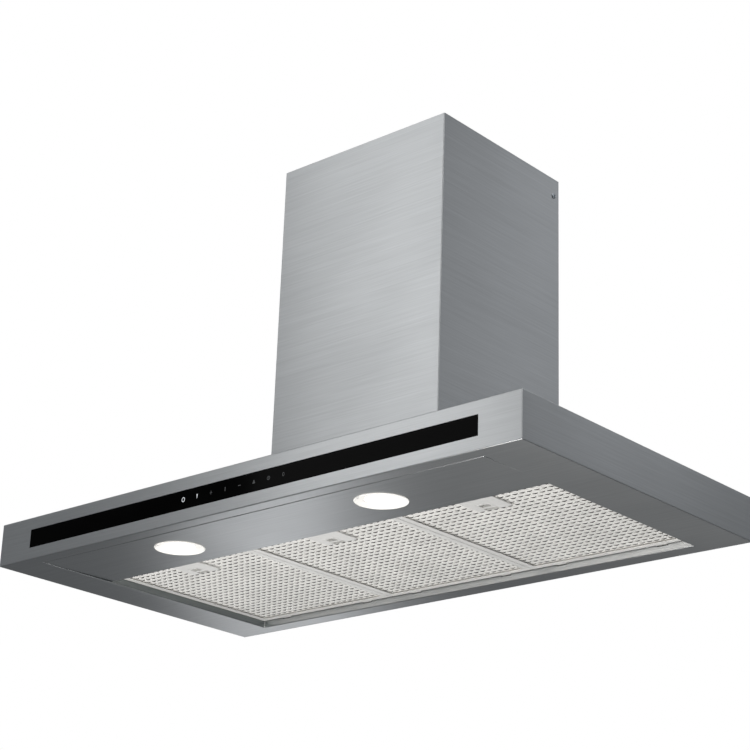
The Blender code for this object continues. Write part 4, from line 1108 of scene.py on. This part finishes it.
def filter_sheet(name, low, high, notch, base, depth, cell, facing):
    """A sheet of pressed cups, slit along the front of each cup. Facing is -1 for cups that stand down."""
    low_x, high_x, front, back = low.x, high.x, low.y, high.y
    columns = round((high_x - low_x) / cell)
    rows = round((back - front) / cell)
    wide, tall = (high_x - low_x) / columns, (back - front) / rows
    steps = 8
    slit_row = 1
    per_cell = len(cup_rows(0.0))
    bm = bmesh.new()
    grid = {}
    for i in range(columns * steps + 1):
        u = (i % steps) / steps - 0.5
        for j in range(rows * per_cell + 1):
            cell_row, part = divmod(j, per_cell)
            v, height = (-0.5, 0.0) if cell_row == rows else cup_rows(u)[part]
            place = (
                low_x + wide * i / steps,
                front + tall * (cell_row + 0.5 + v),
                base + facing * depth * height,
            )
            grid[i, j] = bm.verts.new(place)
    for i in range(columns * steps):
        step = i % steps
        for j in range(rows * per_cell):
            if j % per_cell == slit_row and 0 < step < steps - 1:
                continue
            corners = (grid[i, j], grid[i + 1, j], grid[i + 1, j + 1], grid[i, j + 1])
            middle_x = sum(c.co.x for c in corners) / 4
            middle_y = sum(c.co.y for c in corners) / 4
            if notch[0] < middle_x < notch[1] and middle_y < notch[2]:
                continue
            bm.faces.new(corners)
    loose = [v for v in bm.verts if not v.link_faces]
    bmesh.ops.delete(bm, geom=loose, context="VERTS")
    if facing < 0:
        bmesh.ops.reverse_faces(bm, faces=bm.faces)
    return object_of(name, bm)


class HOOD_OT_filters(bpy.types.Operator):
    """Pressed faces of the grease filters, and the springs of their catches"""

    bl_idname = "hood.filters"
    bl_label = "Grease filters"

    def execute(self, context):
        sizes = context.scene.hood_sizes
        for name in FILTERS:
            frame_low, frame_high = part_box(f"filter_frame_{name}")
            mesh_low, mesh_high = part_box(f"filter_mesh_{name}")
            middle = (mesh_low.x + mesh_high.x) / 2
            notch = (middle - 27.3 * MM, middle + 25.3 * MM, frame_low.y + 62.0 * MM)
            base = mesh_low.z + 1.25 * MM
            plan = (mesh_low, mesh_high, notch)
            face = filter_sheet(f"filter_face_{name}", *plan, base, sizes.cup_depth, sizes.cell, -1)
            thicken(face, 0.35 * MM, even=False)
            settle(face)
            dress(shade(face, 60), f"filter_{name}", "expanded_aluminium", (f"filter_mesh_{name}",))
            # Painted shade: the lining is drawn dark on its lower side, which is seen through the slits.
            lining = filter_sheet(
                f"filter_lining_{name}", *plan, base + 1.2 * MM, sizes.cup_depth * 0.7, sizes.cell, 1
            )
            dress(shade(lining, 60), f"filter_{name}", "expanded_aluminium", finish_name="shaded_lining")
            self.spring(name, sizes)
        return {"FINISHED"}

    def spring(self, name, sizes):
        """A coil with closed ends, which the catch presses back against its lug."""
        low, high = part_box(f"catch_spring_{name}")
        centre = (low + high) / 2
        wire = 0.3 * MM
        radius = 2.0 * MM
        length = high.y - low.y - 2 * wire
        steps = 20
        sides = 8
        count = sizes.spring_turns * steps
        end_turns, end_pitch = 1.5, 2.2 * wire
        closed = end_turns * steps
        points = []
        for k in range(count + 1):
            angle = 2 * math.pi * k / steps
            open_share = min(max((k - closed) / (count - 2 * closed), 0.0), 1.0)
            end_rise = end_pitch * min(k, closed) / steps
            far_rise = end_pitch * max(k - (count - closed), 0) / steps
            open_length = length - 2 * end_pitch * end_turns
            y = low.y + wire + end_rise + far_rise + open_length * open_share
            points.append(
                Vector((centre.x + radius * math.cos(angle), y, centre.z + radius * math.sin(angle)))
            )
        bm = bmesh.new()
        loops = []
        for k, point in enumerate(points):
            out = Vector((point.x - centre.x, 0, point.z - centre.z)).normalized()
            along = Vector((0, 1, 0))
            loops.append(
                [
                    bm.verts.new(
                        point
                        + wire
                        * (
                            math.cos(2 * math.pi * s / sides) * out + math.sin(2 * math.pi * s / sides) * along
                        )
                    )
                    for s in range(sides)
                ]
            )
        for here, there in zip(loops, loops[1:]):
            for s in range(sides):
                r = (s + 1) % sides
                bm.faces.new((here[s], here[r], there[r], there[s]))
        bm.faces.new(loops[0])
        bm.faces.new(loops[-1])
        bmesh.ops.recalc_face_normals(bm, faces=bm.faces)
        coil = object_of(f"spring_coil_{name}", bm)
        dress(shade(coil, 60), f"filter_{name}", "spring_steel", (f"catch_spring_{name}",))
        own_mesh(coil)


# ---------------------------------------------------------------- kept parts


class HOOD_OT_fittings(bpy.types.Operator):
    """Finishes and softened edges of the parts that keep their shape"""

    bl_idname = "hood.fittings"
    bl_label = "Fittings"

    def execute(self, context):
        sizes = context.scene.hood_sizes
        widths = {
            "blower_box": 0.8 * MM,
            "control_box": 1.2 * MM,
            "motor_body": 1.2 * MM,
            "motor_capacitor": 1.0 * MM,
            "canopy_hanger_left": 0.6 * MM,
            "canopy_hanger_right": 0.6 * MM,
        }
        for entry in frame["record"]["subparts"]:
            node = frame["nodes"][entry["node"]]
            if node.hide_render:
                continue
            slot = entry["material_slot"]
            material = finish(slot)
            if not node.material_slots:
                node.data.materials.append(material)
            for held in node.material_slots:
                held.material = material
            if slot == "lead_sleeve":
                continue
            joined = node.modifiers.new("weld", "WELD")
            joined.merge_threshold = 0.01 * MM
            bevel(node, widths.get(node.name, sizes.edge_radius), 2, 35)
            keep_flat(node)
        return {"FINISHED"}


def move_into(bm, part):
    """Adds a bmesh to another one, and frees it."""
    mesh = bpy.data.meshes.new("part")
    part.to_mesh(mesh)
    part.free()
    bm.from_mesh(mesh)
    bpy.data.meshes.remove(mesh)


def pan_head(bm, place, radius, height):
    """Adds an upright pan-head screw with a cross recess to the bmesh."""
    profile = [(0.0, 0.0), (radius, 0.0)]
    profile += [(radius * 0.99, height * 0.35), (radius * 0.90, height * 0.68), (radius * 0.70, height * 0.90)]
    profile += [(radius * 0.42, height), (radius * 0.40, height * 0.35), (0.0, height * 0.25)]
    one = bmesh.new()
    lathe(one, profile, 24)
    for angle in (0, math.pi / 2):
        bar = bmesh.new()
        box_into(
            bar,
            (-radius * 0.38, -radius * 0.10, height * 0.28),
            (radius * 0.38, radius * 0.10, height * 0.62),
        )
        bar.transform(Matrix.Rotation(angle, 4, "Z"))
        move_into(one, bar)
    one.transform(Matrix.Translation(place))
    move_into(bm, one)


class HOOD_OT_fasteners(bpy.types.Operator):
    """Screws of the blower box"""

    bl_idname = "hood.fasteners"
    bl_label = "Fasteners"

    def execute(self, context):
        low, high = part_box("blower_box")
        inset = 5.0 * MM
        flange_top = low.z + 1.0 * MM
        head = (3.2 * MM, 2.0 * MM)  # Radius and height.
        bm = bmesh.new()
        for x in (low.x + inset, high.x - inset):
            for share in (0.08, 0.5, 0.92):
                y = low.y + (high.y - low.y) * share
                pan_head(bm, (x, y, flange_top), *head)
        for share in (0.3, 0.7):
            x = low.x + (high.x - low.x) * share
            pan_head(bm, (x, low.y + inset, flange_top), *head)
            pan_head(bm, (x, high.y - inset, flange_top), *head)
        dress(shade(object_of("blower_screws", bm), 40), "root", "screw_steel")
        return {"FINISHED"}


# ---------------------------------------------------------------- stage


def stage_finish(colours):
    """Seamless paper: matt and pale, with the faintest mottling."""
    material, tree = start_material("studio_paper")
    place = add_node(tree, "ShaderNodeTexCoord")
    mottle = add_node(
        tree, "ShaderNodeTexNoise", {"Vector": place.outputs["Object"], "Scale": 3.0, "Detail": 4.0}
    )
    colour = toned(tree, colours.floor, mottle.outputs["Fac"], 0.0, 1.0, 0.98, 1.0)
    return close_material(
        material,
        {
            "Base Color": colour.outputs[0],
            "Roughness": 0.9,
            "Emission Color": colour.outputs[0],
            "Emission Strength": 0.25,
        },
    )


def softbox(name, target, direction, distance, width, height, radiance, colour):
    """A rectangular lamp at a distance from its target, facing it, which the camera doesn't see."""
    away = Vector(direction).normalized()
    data = bpy.data.lights.new(name, "AREA")
    data.shape = "RECTANGLE"
    data.size = width
    data.size_y = height
    data.energy = radiance * math.pi * width * height
    data.color = linear(colour)[:3]
    lamp = bpy.data.objects.new(name, data)
    bpy.context.scene.collection.objects.link(lamp)
    lamp.location = Vector(target) + away * distance
    lamp.rotation_euler = (-away).to_track_quat("-Z", "Y").to_euler()
    lamp.visible_camera = False
    return lamp


def studio_world():
    """White behind the object, and a dim cool grey all round for the metal to reflect."""
    world = bpy.data.worlds.new("studio")
    bpy.context.scene.world = world
    world.use_nodes = True
    tree = world.node_tree
    tree.nodes.clear()
    place = add_node(tree, "ShaderNodeTexCoord")
    height = add_node(tree, "ShaderNodeSeparateXYZ", {0: place.outputs["Generated"]})
    level = add_node(
        tree, "ShaderNodeMapRange", {0: height.outputs["Z"], 1: -0.15, 2: 0.25, 3: 0.145, 4: 0.25}
    )
    dim = add_node(tree, "ShaderNodeBackground", {"Color": linear("EEF2F6"), "Strength": level.outputs[0]})
    white = add_node(tree, "ShaderNodeBackground", {"Color": (1.0, 1.0, 1.0, 1.0), "Strength": 1.0})
    path = add_node(tree, "ShaderNodeLightPath")
    mixed = add_node(
        tree, "ShaderNodeMixShader", {0: path.outputs["Is Camera Ray"], 1: dim.outputs[0], 2: white.outputs[0]}
    )
    output = add_node(tree, "ShaderNodeOutputWorld")
    tree.links.new(mixed.outputs[0], output.inputs["Surface"])


class HOOD_OT_stage(bpy.types.Operator):
    """Camera, floor, studio lamps and the white surround"""

    bl_idname = "hood.stage"
    bl_label = "Studio"

    def execute(self, context):
        scene = context.scene
        scene.view_settings.view_transform = "Standard"
        studio_world()

        camera_data = bpy.data.cameras.new("camera")
        camera_data.lens = 94.73
        camera_data.sensor_width = 36.0
        camera = bpy.data.objects.new("camera", camera_data)
        scene.collection.objects.link(camera)
        scene.camera = camera
        camera.location = (1.683, -2.104, -0.754)
        aim = Vector((0.0413, -0.268, 0.2068)) - camera.location
        camera.rotation_mode = "QUATERNION"
        camera.rotation_quaternion = aim.to_track_quat("-Z", "Y") @ Quaternion((0, 0, 1), math.radians(2.01))

        bm = bmesh.new()
        bmesh.ops.create_circle(bm, cap_ends=True, segments=96, radius=3.0)
        floor = object_of("floor", bm)
        floor.location = (0.0, -0.2, -1.6)
        floor.data.materials.append(stage_finish(scene.hood_colours))
        floor.visible_glossy = False

        middle = (0.0, -0.27, 0.2)
        # Name, target, direction from it, distance, width, height, radiance, colour.
        boxes = (
            ("front_box", middle, (-0.628, -0.770, 0.42), 9.0, 1.55, 5.0, 1.45, "FFFFFF"),
            ("side_box", (0.3, -0.2, 0.1), (0.53, 0.84, 0.58), 6.0, 0.8, 2.2, 0.72, "F8FAFF"),
            ("under_box", (0.0, -0.4, -0.03), (-0.70, 0.695, -0.34), 8.0, 0.8, 2.0, 1.55, "FCFDFF"),
            ("low_box", (0.0, -0.2, 0.0), (0.05, -0.60, -1.0), 1.3, 0.9, 0.9, 6.2, "FFFDFA"),
            ("edge_box", middle, (0.77, -0.54, 0.45), 5.0, 0.8, 2.0, 2.6, "FFFFFF"),
            ("front_fill", middle, (0.15, -1.0, 0.30), 6.0, 2.0, 3.0, 0.75, "FFFFFF"),
            ("right_fill", middle, (1.0, -0.05, 0.30), 6.0, 2.0, 3.0, 0.75, "FFFFFF"),
            ("left_fill", middle, (-0.95, 0.20, 0.40), 5.0, 3.0, 3.0, 0.9, "FFFFFF"),
            ("back_fill", middle, (-0.35, 0.90, 0.45), 5.0, 4.0, 3.0, 0.9, "FFFFFF"),
            ("top_box", (0.0, -0.2, 0.0), (0.1, -0.1, 1.0), 3.2, 3.0, 3.0, 2.2, "FFFFFF"),
        )
        for box in boxes:
            softbox(*box)
        return {"FINISHED"}


# ---------------------------------------------------------------- add-on


OPERATORS = (
    HOOD_OT_canopy,
    HOOD_OT_light_panel,
    HOOD_OT_chimney,
    HOOD_OT_control,
    HOOD_OT_lamps,
    HOOD_OT_filters,
    HOOD_OT_fittings,
    HOOD_OT_fasteners,
    HOOD_OT_stage,
)


class HOOD_PT_looks(bpy.types.Panel):
    """Buttons and settings of the hood's looks"""

    bl_label = "Chimney hood"
    bl_space_type = "VIEW_3D"
    bl_region_type = "UI"
    bl_category = "Hood"

    def draw(self, context):
        for operator in OPERATORS:
            self.layout.operator(operator.bl_idname)
        for group in (context.scene.hood_sizes, context.scene.hood_colours):
            for name in group.bl_rna.properties.keys():
                if name not in ("rna_type", "name"):
                    self.layout.prop(group, name)


CLASSES = (HoodSizes, HoodColours, *OPERATORS, HOOD_PT_looks)


def register():
    for kind in CLASSES:
        bpy.utils.register_class(kind)
    bpy.types.Scene.hood_sizes = PointerProperty(type=HoodSizes)
    bpy.types.Scene.hood_colours = PointerProperty(type=HoodColours)


def unregister():
    del bpy.types.Scene.hood_colours
    del bpy.types.Scene.hood_sizes
    for kind in reversed(CLASSES):
        bpy.utils.unregister_class(kind)


def main():
    register()
    for operator in OPERATORS:
        group, name = operator.bl_idname.split(".")
        getattr(getattr(bpy.ops, group), name)()


if __name__ == "__main__":
    main()
